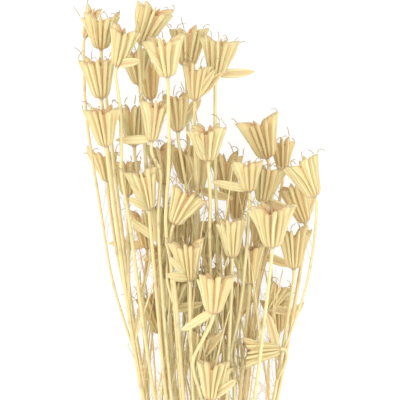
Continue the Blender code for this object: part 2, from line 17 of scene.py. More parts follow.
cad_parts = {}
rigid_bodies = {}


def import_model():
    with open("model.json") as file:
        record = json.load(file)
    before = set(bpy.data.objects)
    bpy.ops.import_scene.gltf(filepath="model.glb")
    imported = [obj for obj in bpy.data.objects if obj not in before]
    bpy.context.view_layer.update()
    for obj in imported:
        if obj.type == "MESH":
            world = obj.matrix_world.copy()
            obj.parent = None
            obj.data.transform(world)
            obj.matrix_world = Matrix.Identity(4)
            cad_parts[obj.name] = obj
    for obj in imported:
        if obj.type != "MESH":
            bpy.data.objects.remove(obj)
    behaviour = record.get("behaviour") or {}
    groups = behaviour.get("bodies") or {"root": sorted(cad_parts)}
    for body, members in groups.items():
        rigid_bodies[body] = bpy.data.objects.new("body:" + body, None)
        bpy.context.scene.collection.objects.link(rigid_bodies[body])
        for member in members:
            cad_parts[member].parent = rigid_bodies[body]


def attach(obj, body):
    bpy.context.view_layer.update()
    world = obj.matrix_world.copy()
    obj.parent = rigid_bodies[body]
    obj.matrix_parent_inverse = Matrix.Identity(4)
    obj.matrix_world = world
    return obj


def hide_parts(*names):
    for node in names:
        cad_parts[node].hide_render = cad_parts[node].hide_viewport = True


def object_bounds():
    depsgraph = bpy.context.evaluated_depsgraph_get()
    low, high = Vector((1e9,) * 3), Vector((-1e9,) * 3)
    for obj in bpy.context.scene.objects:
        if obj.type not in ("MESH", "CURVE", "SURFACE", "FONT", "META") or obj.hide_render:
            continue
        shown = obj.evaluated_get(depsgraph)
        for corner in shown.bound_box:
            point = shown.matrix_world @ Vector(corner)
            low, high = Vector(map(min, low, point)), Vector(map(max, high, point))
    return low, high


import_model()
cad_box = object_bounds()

MM = 0.001

# Where the photograph's pixels are, and the sizes that the bunch is laid out by, all as in its solids
PIXEL = 0.8 * MM
MIDDLE_COLUMN = 205
TIE_ROW = 612
TAIL_LENGTH = 105 * MM
STALK_RADIUS = 1.45 * MM
SHOOT_RADIUS = 1.1 * MM
THIN_SHOOT_RADIUS = 0.9 * MM
CLEARANCE = 1.0 * MM
TIE_INNER_RADIUS = 14.4 * MM
TWINE_DIAMETER = 2.0 * MM
TIE_TURNS = 5
TIE_HEIGHT = 15.6 * MM
HEAD_LENGTH = 27 * MM
HEAD_SPREAD = 29 * MM
PARTING = (20.5 * MM, 12.4 * MM)
LIP = (25.2 * MM, 14.8 * MM)
BEAK = (28.8 * MM, 15.7 * MM)
POD_THICKNESS = 3.1 * MM
LIP_THICKNESS = 1.9 * MM
HEAD_BALLS = ((0.16, 7.4 * MM), (0.45, 10.4 * MM), (0.74, 13.2 * MM), (0.98, 15.6 * MM))
LEVEL_STEP = 10 * MM
NECK_LENGTH = 9 * MM
LAYOUT_ROUNDS = 260
HEAD_ROUNDS = 400
SEED = 7

# Rings of a pod from its foot to the tip of its beak, in millimetres from the head's own foot:
# radius and height of its inner edge, radius and height of its outer edge, its thickness, and how aged it is
POD_RINGS = (
    (1.8, 0.2, 1.8, 0.2, 0.0, 0.45),
    (0.8, 1.0, 5.0, 0.7, 2.3, 0.1),
    (0.8, 3.4, 7.2, 3.0, 3.1, 0.0),
    (0.8, 9.0, 8.9, 8.4, 3.5, 0.0),
    (0.8, 15.0, 10.9, 14.4, 3.6, 0.0),
    (0.9, 20.6, 13.2, 20.2, 4.4, 0.0),
    (1.2, 25.4, 15.3, 25.2, 5.0, 0.0),
    (4.0, 27.0, 16.5, 27.6, 3.6, 0.12),
    (16.8, 30.0, 16.8, 30.0, 0.0, 0.6),
)
# Round a pod: share of the way from its inner to its outer edge, and share of its half thickness
POD_SECTION = (
    (1.0, 0.0),
    (0.95, 0.66),
    (0.84, 0.56),
    (0.66, 1.0),
    (0.0, 0.0),
    (0.66, -1.0),
    (0.84, -0.56),
    (0.95, -0.66),
)
INNER_EDGE = 4  # the place in that list of a pod's inner edge
MOUTH_RINGS = (6, 7)  # the rings where a pod is open; painted shade darkens its inner edge there as a slit
# A head has this many times the pods of its plain solid, which has fewer, thicker ones
FINER_PODS = 1.6
USUAL_PODS = 11
# Rings of a fallen or splayed pod: reach, half width and half thickness, in millimetres
FALLEN_RINGS = (
    (0.3, 0.0, 0.0),
    (1.6, 2.0, 0.8),
    (4.5, 3.7, 1.1),
    (9.0, 4.2, 1.2),
    (14.0, 4.2, 1.2),
    (18.5, 3.9, 1.1),
    (22.5, 3.4, 0.9),
    (26.0, 2.7, 0.8),
    (29.0, 1.4, 0.5),
    (32.0, 0.0, 0.0),
)
FALLEN_SIDES = 8
FALLEN_SEAM = 2  # the side of a fallen pod along which it has opened
# The closed middle of a head between its pods: radius and height of its outline, in millimetres
CORE_OUTLINE = (
    (0.0, -0.6),
    (2.4, 0.0),
    (4.6, 1.4),
    (5.3, 4.0),
    (6.0, 9.0),
    (7.2, 14.5),
    (8.8, 20.0),
    (9.8, 23.4),
    (9.2, 24.0),
    (6.2, 20.0),
    (3.0, 17.0),
    (0.0, 15.0),
)
CORE_SEGMENTS = 12

# The closed middle's place on the fold-to-ridge ramp, set low for painted shade deep in the head, and how
# aged it is
CORE_SHADE_ACROSS = 0.3
CORE_AGE = 0.3

# Rings of the swelling where a stalk enters its head: rise from the foot in millimetres, its share of the
# stalk's radius there, and how aged it is
HEAD_SWELLING = (
    (-2.2, 1.05, 0.05),
    (-1.0, 1.35, 0.1),
    (-0.3, 1.65, 0.5),
    (0.3, 1.6, 0.5),
    (1.4, 1.4, 0.3),
)
STALK_SIDES = 10
STALK_FULLNESS = 1.16
RIB_DEPTH = 0.1
THREAD_SIDES = 3
TWIG_SIDES = 6
TWIG_RADIUS = 1.05 * MM
TWIG_PIECES = 9
TWIGS_ON_STALK = 4
LEAVES_ON_STALK = 7
LEAVES_ON_SHOOT = 4
LEAF_RADIUS = 0.5 * MM
LEAFLET_RADIUS = 0.38 * MM
STYLE_RADIUS = 0.9 * MM
STYLE_CHANCE = 0.55
LEANING_CHANCE = 0.1
RIPPLE = 0.35 * MM

# How many pods are splayed from a head, one of these by chance, and the room that each needs round it
SPLAYED_PODS = (0, 1, 1, 1, 2)
SPLAY_TRIES = 24
SPLAY_ROOM = 1.0 * MM
SPLAY_HALF_WIDTH = 2.6 * MM
SPLAY_LOWEST = 6 * MM

# Straw nearer the floor than this is painted browner, most of all on the floor: painted warm shade of the
# bunch's depth, partly also less bleached straw there
SHADE_BROWN_UNDER = 70 * MM
DEEPEST_SHADE_BROWN = 0.75
ROOM_PAST_BOX = 0.02
LOWEST_THREAD = 0.4 * MM

TWINE_PLIES = 3
TWINE_LAY = 7.0 * MM
PLY_RADIUS = 0.56 * MM
PLY_SIDES = 6
PLY_OFFSET = 0.242 * TWINE_DIAMETER
STEPS_IN_TURN = 72
TUCKED_STEPS = 14.0
TUCK_DEPTH = 2.2 * MM
TWINE_HAIRS = 160
HAIR_RADIUS = 0.07 * MM

# Colours of the straw, by where they are on it; the fold and flank colours are painted shade, the browned
# colour is partly painted shade deeper in the bunch, and the aged colour is partly painted shade in open
# slits
FOLD_SHADE = (0.82, 0.36, 0.15, 1)
FLANK_SHADE = (0.80, 0.60, 0.30, 1)
RIDGE = (0.72, 0.65, 0.36, 1)
BROWN_AND_SHADE = (0.90, 0.61, 0.29, 1)
BLEACHED = (0.74, 0.72, 0.43, 1)
MOTTLED = (0.75, 0.58, 0.28, 1)
FIBROUS = (0.80, 0.77, 0.51, 1)
VEINED = (0.62, 0.42, 0.18, 1)
FLECKED = (0.42, 0.27, 0.12, 1)
AGED_AND_SLIT_SHADE = (0.22, 0.17, 0.11, 1)
# Colours of the twine and the floor
TWINE_DEEP = (0.30, 0.17, 0.07, 1)
TWINE_TAN = (0.66, 0.47, 0.25, 1)
TWINE_PALE = (0.72, 0.55, 0.32, 1)
TWINE_FLECK = (0.22, 0.13, 0.06, 1)
FLOOR_GREY = (0.13, 0.13, 0.13, 1)
FLOOR_CLOUD = (0.16, 0.16, 0.16, 1)
FLOOR_GLOW = (1.0, 1.0, 0.99, 1)
FLOOR_GLOW_STRENGTH = 0.85
FLOOR_HALF_WIDTH = 4.0
FLOOR_DROP = 0.3 * MM

# The studio: a soft sky, and two softboxes given by their places, powers in watts and widths in metres
SKY_COLOUR = (1.0, 0.98, 0.93, 1)
SKY_STRENGTH = 1.38
LAMP_COLOUR = (0.97, 1.0, 0.96)
SOFTBOXES = {
    "window": ((-1.1, 1.3, 1.7), 10.5, 0.9),
    "fill": ((0.25, 0.1, 2.4), 8.5, 0.6),
}

# The photograph's frame: what is in its middle and how wide it is, in metres
VIEW_MIDDLE = (-0.004, 0.3296, 0.055)
VIEW_WIDTH = 400 * PIXEL
FOCAL_LENGTH = 300.0
SENSOR_WIDTH = 36.0


@dataclass
class Head:
    """A seed head. Pixels give its place across and along the bunch, read from the photograph."""

    foot: tuple  # column and row where the stalk enters it
    crown: tuple  # column and row of the middle of its open top
    spread: float  # pixels across its open top
    height: float  # millimetres of its foot over the surface, before the heads are set clear
    pods: int
    fork: float = 0.0  # row where its shoot leaves the stem's own stalk; 0 for the stalk itself
    via: tuple = ()  # columns and rows that its shoot passes
    tilt: float = 0.0  # degrees that it looks up from the surface
    fallen: tuple = ()  # pairs of degrees: round the head, and out from its axis
    rests: bool = False  # True for a head that the bunch lies on


# One list for each stem: the head of its own stalk first, then those of its side shoots
STEMS = {
    "stem_01": [Head((101, 49), (101, 17), 37, 62, 8, tilt=6)],
    "stem_02": [
        Head((102, 99), (98, 62), 37, 66, 8, tilt=4),
        Head((84, 36), (91, 12), 17, 40, 4, fork=356, via=((82, 62), (84, 130), (99, 197), (109, 285))),
        Head((106, 181), (103, 154), 27, 15, 6, fork=300, via=((111, 235),), rests=True),
    ],
    "stem_03": [
        Head((107, 147), (102, 110), 35, 70, 8, tilt=8),
        Head((127, 196), (125, 160), 30, 24, 6, fork=322),
    ],
    "stem_04": [
        Head((118, 68), (127, 32), 30, 72, 6, tilt=10),
        Head((146, 249), (142, 214), 28, 26, 6, fork=352),
    ],
    "stem_05": [
        Head((139, 84), (133, 50), 30, 40, 7),
        Head((150, 98), (147, 62), 28, 15, 6, fork=268, rests=True),
        Head((160, 335), (149, 297), 28, 26, 6, fork=410),
        Head((134, 146), (131, 106), 33, 46, 7, fork=262),
    ],
    "stem_06": [
        Head((141, 45), (156, 10), 38, 74, 8, tilt=8),
        Head((161, 244), (163, 210), 27, 48, 6, fork=338),
    ],
    "stem_07": [Head((152, 142), (155, 104), 28, 74, 6, fallen=((200, 100),))],
    "stem_08": [Head((149, 210), (141, 170), 32, 72, 8, tilt=5)],
    "stem_09": [Head((168, 79), (164, 43), 40, 84, 7, tilt=6)],
    "stem_10": [
        Head((187, 66), (190, 24), 40, 44, 8, tilt=2),
        Head((186, 184), (183, 146), 30, 20, 6, fork=300),
    ],
    "stem_11": [
        Head((195, 101), (196, 67), 29, 70, 6, tilt=6),
        Head((178, 132), (176, 96), 30, 58, 6, fork=246),
        Head((194, 326), (195, 292), 26, 24, 6, fork=404),
    ],
    "stem_12": [
        Head((216, 77), (221, 41), 37, 58, 8, tilt=4),
        Head((205, 304), (204, 270), 26, 46, 6, fork=372),
    ],
    "stem_13": [
        Head((208, 161), (207, 129), 40, 82, 7, tilt=10),
        Head((198, 192), (199, 156), 27, 36, 6, fork=300),
    ],
    "stem_14": [
        Head((174, 224), (189, 191), 35, 72, 8, tilt=4),
        Head((163, 184), (160, 146), 30, 44, 6, fork=306),
    ],
    "stem_15": [
        Head((228, 195), (225, 152), 33, 34, 7, tilt=2),
        Head((208, 262), (207, 226), 27, 20, 6, fork=344),
        Head((229, 330), (232, 296), 26, 24, 6, fork=410),
    ],
    "stem_16": [
        Head((249, 192), (247, 163), 31, 68, 6, tilt=4, fallen=((192, 80),)),
        Head((237, 222), (239, 188), 27, 22, 6, fork=330),
    ],
    "stem_17": [
        Head((268, 158), (258, 119), 42, 30, 8, tilt=4),
        Head((262, 258), (262, 222), 27, 20, 6, fork=346),
    ],
    "stem_18": [
        Head((263, 203), (268, 168), 35, 60, 8, tilt=2),
        Head((284, 172), (283, 140), 25, 14, 6, fork=288),
    ],
    "stem_19": [Head((271, 247), (271, 207), 42, 92, 9, tilt=6)],
    "stem_20": [
        Head((294, 269), (293, 231), 33, 50, 8, tilt=2),
        Head((314, 197), (299, 163), 36, 62, 8, fork=358, via=((317, 240), (309, 295))),
        Head((280, 349), (246, 353), 28, 60, 7, fork=382),
    ],
    "stem_21": [
        Head((306, 223), (292, 184), 32, 38, 7),
        Head((279, 335), (277, 303), 28, 15, 7, fork=382, rests=True),
    ],
    "stem_22": [
        Head((190, 280), (187, 243), 33, 72, 8, tilt=5),
        Head((180, 253), (179, 218), 28, 34, 6, fork=344),
    ],
    "stem_23": [Head((213, 312), (215, 276), 38, 76, 6, tilt=4, fallen=((160, 126),))],
    "stem_24": [
        Head((232, 257), (231, 221), 30, 66, 7, tilt=5),
        Head((219, 254), (213, 222), 25, 48, 6, fork=322),
        Head((238, 316), (241, 284), 26, 40, 6, fork=400),
    ],
    "stem_25": [
        Head((249, 284), (247, 245), 35, 64, 7, tilt=3),
        Head((268, 312), (281, 288), 25, 34, 6, fork=366),
    ],
    "stem_26": [
        Head((171, 312), (178, 281), 30, 56, 7, tilt=4),
        Head((166, 278), (162, 244), 26, 30, 6, fork=356),
    ],
    "stem_27": [Head((211, 398), (214, 362), 36, 78, 8, tilt=6)],
    "stem_28": [
        Head((198, 362), (203, 335), 25, 64, 6, tilt=3),
        Head((207, 364), (217, 344), 25, 26, 6, fork=450),
    ],
}


def place(pixel):
    """Metres across and along the bunch of a column and row of the photograph."""
    column, row = pixel
    return np.array([(column - MIDDLE_COLUMN) * PIXEL, (TIE_ROW - row) * PIXEL])


class Shoot:
    """A stalk or side shoot and its head: what it grows from, where its head is, and the head's pods."""

    def __init__(self, stem, head, parent, dice):
        self.stem = stem
        self.head = head
        self.parent = parent
        self.pods = grown_pods(head.pods, dice)
        foot, crown = place(head.foot), place(head.crown)
        reach = crown - foot
        tilt = math.radians(head.tilt)
        flat = reach / np.linalg.norm(reach)
        self.axis = np.array([flat[0] * math.cos(tilt), flat[1] * math.cos(tilt), math.sin(tilt)])
        self.stretch = min(max(np.linalg.norm(reach) / HEAD_LENGTH, 0.86), 1.15)
        self.girth = head.spread * PIXEL / HEAD_SPREAD
        self.foot = np.array([foot[0], foot[1], head.height * MM])
        if parent is None:
            self.radius = STALK_RADIUS
        elif head.via and not head.rests:
            self.radius = THIN_SHOOT_RADIUS
        else:
            self.radius = SHOOT_RADIUS

    def balls(self):
        """Centres and radii of the balls that stand for the head."""
        for share, radius in HEAD_BALLS:
            yield self.foot + self.axis * share * HEAD_LENGTH * self.stretch, radius * self.girth
        for compass, droop in self.head.fallen:
            way = self.fallen_way(compass, droop)
            for share in (0.45, 0.8):
                yield self.foot + way * share * HEAD_LENGTH, 5.0 * MM

    def fallen_way(self, compass, droop):
        """Which way a fallen pod points."""
        out, down = math.radians(compass), math.radians(droop)
        side, top = head_frame(self.axis)
        round_axis = side * math.cos(out) + top * math.sin(out)
        return self.axis * math.cos(down) + round_axis * math.sin(down)


def head_frame(axis):
    """Two unit vectors square to a head's axis: one level with the surface, one looking up."""
    side = np.cross(axis, (0.0, 0.0, 1.0))
    side /= np.linalg.norm(side)
    return side, np.cross(side, axis)


def grown_pods(count, dice):
    """For each pod of a head, which way round it points, and how far and how high it reaches for its kind."""
    turn = 2 * math.pi / count
    start = dice.uniform(0, turn)
    compass = [start + turn * (k + dice.uniform(-0.12, 0.12)) for k in range(count)]
    reach = [dice.uniform(0.86, 1.06) for _ in range(count)]
    tall = [dice.uniform(0.93, 1.05) for _ in range(count)]
    return list(zip(compass, reach, tall))


def in_head(shoot, compass, radius, aside, height):
    """A place in a head's own frame, with +Z along its axis and its foot at the origin."""
    return (
        (radius * math.cos(compass) - aside * math.sin(compass)) * shoot.girth,
        (radius * math.sin(compass) + aside * math.cos(compass)) * shoot.girth,
        height * shoot.stretch,
    )


def settle(shoot):
    """Lowers or lifts a head that the bunch lies on until its lowest corner is on the surface."""
    side, top = head_frame(shoot.axis)
    drops = []
    for compass, reach, tall in shoot.pods:
        corners = [(PARTING[1], 0.5 * POD_THICKNESS, PARTING[0])]
        corners.append((LIP[1] * reach, 0.5 * LIP_THICKNESS, LIP[0] * tall))
        corners.append((BEAK[1] * reach, 0.0, BEAK[0] * tall))
        for radius, aside, height in corners:
            for lean in (-aside, aside):
                x, y, z = in_head(shoot, compass, radius, lean, height)
                drops.append(x * side[2] + y * top[2] + z * shoot.axis[2])
    shoot.foot[2] = -min(drops)


def all_shoots():
    """The stalks and side shoots of every stem, each stem's own stalk before its side shoots."""
    dice = random.Random(SEED)
    made = []
    for stem, heads in STEMS.items():
        parent = None
        for head in heads:
            made.append(Shoot(stem, head, parent, dice))
            parent = parent if parent is not None else len(made) - 1
    set_heads_clear(made)
    for shoot in made:
        if shoot.head.rests:
            settle(shoot)
    return made


def set_heads_clear(shoots):
    """Moves heads up or down until their balls are apart; a head that the bunch lies on stays low."""
    owner, centre, radius = [], [], []
    for index, shoot in enumerate(shoots):
        for at, size in shoot.balls():
            owner.append(index)
            centre.append(at)
            radius.append(size)
    owner, centre, radius = np.array(owner), np.array(centre), np.array(radius)
    apart = radius[:, None] + radius[None, :] + CLEARANCE
    across = ((centre[:, None, :2] - centre[None, :, :2]) ** 2).sum(-1)
    need = np.sqrt(np.maximum(apart**2 - across, 0.0))
    need[owner[:, None] == owner[None, :]] = 0.0
    fixed = np.array([shoot.head.rests for shoot in shoots])
    lift = np.zeros(len(shoots))
    for _ in range(HEAD_ROUNDS):
        level = centre[:, 2] + lift[owner]
        gap = level[:, None] - level[None, :]
        way = np.where(gap >= 0, 1.0, -1.0)
        push = np.where(need > abs(gap), (need - abs(gap)) * way, 0.0)
        np.fill_diagonal(push, 0.0)
        up = np.zeros(len(shoots))
        down = np.zeros(len(shoots))
        np.maximum.at(up, owner, push.max(axis=1))
        np.minimum.at(down, owner, push.min(axis=1))
        lift += np.where(fixed, 0.0, 0.3 * (up + down))
        floor = np.zeros(len(shoots))
        np.maximum.at(floor, owner, radius + 2.0 * MM - (centre[:, 2] + lift[owner]))
        lift += np.where(fixed, 0.0, np.maximum(floor, 0.0))
    for shoot, by in zip(shoots, lift):
        shoot.foot[2] += by


def smooth_way(points, count):
    """Points at even shares of a curve through a few points, as functions of their distance along Y."""
    points = np.array(points)
    along = points[:, 1]
    wanted = np.linspace(along[0], along[-1], count)
    slopes = np.gradient(points, along, axis=0, edge_order=1)
    out = []
    for y in wanted:
        k = min(np.searchsorted(along, y, side="right") - 1, len(along) - 2)
        run = along[k + 1] - along[k]
        t = (y - along[k]) / run
        out.append(
            (2 * t**3 - 3 * t**2 + 1) * points[k]
            + (t**3 - 2 * t**2 + t) * run * slopes[k]
            + (3 * t**2 - 2 * t**3) * points[k + 1]
            + (t**3 - t**2) * run * slopes[k + 1]
        )
    return np.array(out)


def level_of(y):
    """The number of the level nearest to a place along the bunch."""
    return np.rint((y + TAIL_LENGTH) / LEVEL_STEP).astype(int)


def places_in_tie(stalks):
    """Where each stem's own stalk goes through the tie, spread as its head is but set apart."""
    at = np.array([[0.14 * shoot.foot[0], 0.16 * (shoot.foot[2] - 45 * MM)] for shoot in stalks])
    turn = 2.4 * np.arange(len(at))
    at += 0.4 * MM * np.column_stack([np.cos(turn), np.sin(turn)])
    room = TIE_INNER_RADIUS - CLEARANCE - STALK_RADIUS
    for _ in range(LAYOUT_ROUNDS):
        gap = at[:, None] - at[None, :]
        far = np.linalg.norm(gap, axis=-1)
        np.fill_diagonal(far, 1.0)
        short = np.maximum(2 * STALK_RADIUS + CLEARANCE - far, 0.0)
        at += (0.4 * (short / far)[..., None] * gap).sum(axis=1)
        at *= np.minimum(room / np.linalg.norm(at, axis=1), 1.0)[:, None]
    return at + np.array([0.0, TIE_HEIGHT])


def first_layout(shoots):
    """Where each shoot crosses each level: by shoot, by level, its place across and up; NaN if absent."""
    levels = max(level_of(shoot.foot[1]) for shoot in shoots) + 1
    ways = np.full((len(shoots), levels, 2), np.nan)
    places = iter(places_in_tie([shoot for shoot in shoots if shoot.parent is None]))
    for index, shoot in enumerate(shoots):
        neck = shoot.axis + np.array([0.0, 0.9, 0.0])
        end = shoot.foot - neck / np.linalg.norm(neck) * NECK_LENGTH
        last = level_of(end[1])
        if shoot.parent is None:
            across, up = next(places)
            tie = np.array([across, 0.0, up])
            fan = (end - tie) / end[1]
            bend = tie + np.array([fan[0] * 1.3, 1.0, fan[2] * 1.15]) * 0.42 * end[1]
            tail = tie - np.array([-0.25 * tie[0], TAIL_LENGTH, -0.12 * (tie[2] - TIE_HEIGHT)])
            route = [tail, tie, bend, end]
            start = 0
        else:
            start = level_of(place((0, shoot.head.fork))[1])
            root = ways[shoot.parent, start]
            along = start * LEVEL_STEP - TAIL_LENGTH
            route = [np.array([root[0], along, root[1]])]
            for pixel in reversed(shoot.head.via):
                across, y = place(pixel)
                share = (y - along) / (end[1] - along)
                route.append(np.array([across, y, root[1] + share * (end[2] - root[1])]))
            route.append(end)
        way = smooth_way(route, last - start + 1)
        ways[index, start : last + 1] = way[:, [0, 2]]
    return ways


def over_or_under(ways, apart):
    """For each pair of shoots and level, 1 where the first passes over the second, -1 where under it."""
    gap = np.nan_to_num(ways[:, None] - ways[None, :])
    height = np.where(np.abs(gap[..., 0]) < 2.0 * apart[..., None], gap[..., 1], 0.0)
    nearby = np.pad(height, ((0, 0), (0, 0), (2, 2)))
    over = np.sign(sum(nearby[..., k : k + ways.shape[1]] for k in range(5)))
    order = np.sign(np.arange(len(ways))[:, None] - np.arange(len(ways))[None, :])
    return np.where(over == 0, order[..., None], over)


def bend_clear(shoots, ways):
    """Bends the stalks clear of each other and of the heads, level by level, and keeps them smooth."""
    levels = ways.shape[1]
    heights = np.arange(levels) * LEVEL_STEP - TAIL_LENGTH
    radius = np.array([shoot.radius for shoot in shoots])
    apart = radius[:, None] + radius[None, :] + CLEARANCE
    present = ~np.isnan(ways[:, :, 0])
    together = present[:, None, :] & present[None, :, :]
    together[np.arange(len(shoots)), np.arange(len(shoots))] = False
    for index, shoot in enumerate(shoots):
        if shoot.parent is not None:
            root = int(np.argmax(present[index]))
            family = [shoot.parent] + [k for k, s in enumerate(shoots) if s.parent == shoot.parent]
            for other in family:
                together[index, other, : root + 3] = False
                together[other, index, : root + 3] = False
    balls = [(k, at, size) for k, shoot in enumerate(shoots) for at, size in shoot.balls()]
    owner = np.array([k for k, _, _ in balls])
    centre = np.array([at for _, at, _ in balls])
    size = np.array([size for _, _, size in balls])
    beside = level_of(centre[:, 1])[:, None] + np.arange(-2, 3)
    rise = beside * LEVEL_STEP - TAIL_LENGTH - centre[:, 1][:, None]
    beside = np.clip(beside, 0, levels - 1)
    reach = size[:, None, None] + radius[None, :, None] + CLEARANCE
    wide = np.sqrt(np.maximum(reach**2 - rise[:, None] ** 2, 0.0))
    wide = np.where(owner[:, None, None] == np.arange(len(shoots))[None, :, None], 0.0, wide)
    wide = np.where(present[:, beside].transpose(1, 0, 2), wide, 0.0)
    cells = np.broadcast_arrays(np.arange(len(shoots))[None, :, None], beside[:, None, :])
    first, last = present.argmax(1), levels - 1 - present[:, ::-1].argmax(1)
    held = np.zeros_like(present)
    held[np.arange(len(shoots)), last] = True
    wish = ways.copy()
    for turn in range(LAYOUT_ROUNDS):
        settled = turn > LAYOUT_ROUNDS - 25
        if turn % 20 == 0:
            over = over_or_under(ways, apart)
        gap = np.nan_to_num(ways[:, None] - ways[None, :])
        gap[..., 1] = over * np.maximum(over * gap[..., 1], -0.2 * MM)
        far = np.where(together, np.linalg.norm(gap, axis=-1), 1.0)
        short = np.maximum(apart[:, :, None] - far, 0.0)
        lean = gap / np.maximum(far, 1e-6)[..., None]
        lean[..., 1] += 0.5 * over
        step = (0.5 * short[..., None] * lean).sum(axis=1)
        gap = np.nan_to_num(ways[:, beside].transpose(1, 0, 2, 3) - centre[:, None, None, [0, 2]])
        far = np.linalg.norm(gap, axis=-1)
        short = np.maximum(wide - far, 0.0)
        lean = gap / np.maximum(far, 1e-6)[..., None]
        side = np.zeros((len(shoots), len(shoots), 2))
        np.add.at(side, owner, (short[..., None] * lean).sum(axis=2))
        side /= np.maximum(np.linalg.norm(side, axis=-1), 1e-9)[..., None]
        push = short[..., None] * (0.5 * lean + 0.5 * side[owner][:, :, None])
        most, least = np.zeros_like(step), np.zeros_like(step)
        np.maximum.at(most, tuple(cells), push)
        np.minimum.at(least, tuple(cells), push)
        step += most + least
        step += 0.0 if settled else 0.02 * np.nan_to_num(wish - ways)
        step[held] = 0.0
        ways = ways + np.clip(step, -3 * MM, 3 * MM)
        if not settled:
            bent = np.zeros_like(ways)
            bent[:, 1:-1] = 0.5 * (ways[:, 2:] + ways[:, :-2]) - ways[:, 1:-1]
            bent = np.nan_to_num(bent)
            bent[held] = 0.0
            ways = ways + 0.35 * bent
        for index, shoot in enumerate(shoots):
            if shoot.parent is not None:
                ways[index, first[index]] = ways[shoot.parent, first[index]]
        ways[..., 1] = np.maximum(ways[..., 1], radius[:, None] + 1.0 * MM)
        inside = abs(heights) < 1.2 * LEVEL_STEP
        room = TIE_INNER_RADIUS - CLEARANCE - radius
        out = ways[:, inside] - np.array([0.0, TIE_HEIGHT])
        far = np.linalg.norm(out, axis=-1)
        ways[:, inside] -= out * np.maximum(1.0 - room[:, None] / far, 0.0)[..., None]
    return ways


def needed_points(points):
    """Leaves out the points of a line that lie straight between their neighbours."""
    if len(points) < 3:
        return points
    start, end = points[0], points[-1]
    run = end - start
    off = points[1:-1] - start
    off = off - np.outer(off @ run / (run @ run), run)
    far = np.linalg.norm(off, axis=1)
    worst = int(far.argmax()) + 1
    if far[worst - 1] < 0.15 * MM:
        return np.array([start, end])
    return np.vstack([needed_points(points[: worst + 1])[:-1], needed_points(points[worst:])])


class Growth:
    """A stem's mesh while it grows, with what the straw's finish reads at each of its points."""

    def __init__(self, dice):
        self.bm = bmesh.new()
        layers = self.bm.verts.layers
        self.grain = layers.float_vector.new("grain")
        self.across = layers.float.new("across")
        self.age = layers.float.new("age")
        self.tint = layers.float.new("tint")
        self.dice = dice

    def mark(self, vert, grain, across, age, tint):
        """Writes what the finish reads: the fibres' grain, fold to ridge (painted shade toward the folds),
        how aged (with painted shade in open slits), how brown or pale (with painted shade nearer the floor).
        """
        vert[self.grain] = grain
        vert[self.across] = across
        vert[self.age] = age
        vert[self.tint] = tint

    def piece(self, name, finish, levels=1):
        """The finished object of what has grown."""
        bmesh.ops.recalc_face_normals(self.bm, faces=self.bm.faces)
        for vert in self.bm.verts:
            vert.co.z = max(vert.co.z, 0.0)
            # Painted shade: straw lower in the bunch is made browner
            vert[self.tint] += DEEPEST_SHADE_BROWN * max(1.0 - vert.co.z / SHADE_BROWN_UNDER, 0.0)
        for face in self.bm.faces:
            face.smooth = True
        mesh = bpy.data.meshes.new(name)
        self.bm.to_mesh(mesh)
        self.bm.free()
        mesh.materials.append(finish)
        made = bpy.data.objects.new(name, mesh)
        bpy.context.scene.collection.objects.link(made)
        if levels:
            rounded = made.modifiers.new("rounded", "SUBSURF")
            rounded.levels = levels
            rounded.render_levels = levels
        return made


def sweep(growth, line, radii, ages, sides, tint, across=0.9, ribs=0.0):
    """Grows a closed tube along a line, ring by ring."""
    bm = growth.bm
    start = growth.dice.uniform(0, 80)
    moved = bmesh.ops.create_circle(bm, cap_ends=True, segments=sides, radius=1.0)["verts"]
    ring = list(dict.fromkeys(edge for vert in moved for edge in vert.link_edges))
    for index, vert in enumerate(moved):
        vert.co *= 1.0 - ribs * (index % 2)
    before = Matrix.Identity(4)
    points = [Vector(point) for point in line]
    side = (points[1] - points[0]).orthogonal().normalized()
    run = 0.0
    for k, point in enumerate(points):
        way = (points[min(k + 1, len(points) - 1)] - points[max(k - 1, 0)]).normalized()
        side = (side - way * side.dot(way)).normalized()
        over = way.cross(side)
        run += (point - points[k - 1]).length / MM if k else 0.0
        turn = Matrix((side, over, way)).transposed().to_4x4()
        now = Matrix.Translation(point) @ turn @ Matrix.Diagonal((radii[k], radii[k], radii[k], 1))
        if k:
            grown = bmesh.ops.extrude_edge_only(bm, edges=ring)["geom"]
            moved = [item for item in grown if isinstance(item, bmesh.types.BMVert)]
            ends = set(moved)
            ring = [item for item in grown if isinstance(item, bmesh.types.BMEdge)]
            ring = [edge for edge in ring if edge.verts[0] in ends and edge.verts[1] in ends]
        bmesh.ops.transform(bm, matrix=now @ before.inverted(), verts=moved)
        before = now
        for vert in moved:
            out = (vert.co - point) / MM
            grain = (out.dot(side) + start, out.dot(over) + start, 0.12 * run + start)
            growth.mark(vert, grain, across, ages[k], tint)
    bmesh.ops.edgeloop_fill(bm, edges=ring)


def kept_in(point):
    """A thread's point, kept above the floor and next to the bunch's own box."""
    low, high = cad_box
    out = []
    for axis in range(3):
        room = ROOM_PAST_BOX * (high[axis] - low[axis])
        out.append(min(max(point[axis], low[axis] - room), high[axis] + room))
    out[2] = max(out[2], LOWEST_THREAD)
    return Vector(out)


def wander(growth, start, way, length, curl, pieces):
    """Points along a thin thread that curls as it dries."""
    dice = growth.dice
    way = Vector(way).normalized()
    bend = way.orthogonal()
    bend.rotate(Matrix.Rotation(dice.uniform(0, 2 * math.pi), 3, way))
    points = [Vector(start)]
    for _ in range(pieces):
        bend = bend + Vector([dice.uniform(-0.7, 0.7) for _ in range(3)])
        bend = (bend - way * bend.dot(way)).normalized()
        way = (way + bend * curl).normalized()
        points.append(kept_in(points[-1] + way * length / pieces))
    return points


def grow_thread(growth, start, way, length, curl, radius, age, tint, pieces=6):
    """A style, a leaf thread or a hair of the twine: a thin tapering, curling tube."""
    line = wander(growth, start, way, length, curl, pieces)
    radii = [radius * (1.0 - 0.6 * k / pieces) for k in range(pieces + 1)]
    ages = [age[0] + (age[1] - age[0]) * k / pieces for k in range(pieces + 1)]
    sweep(growth, line, radii, ages, THREAD_SIDES, tint, across=0.8)
    return line


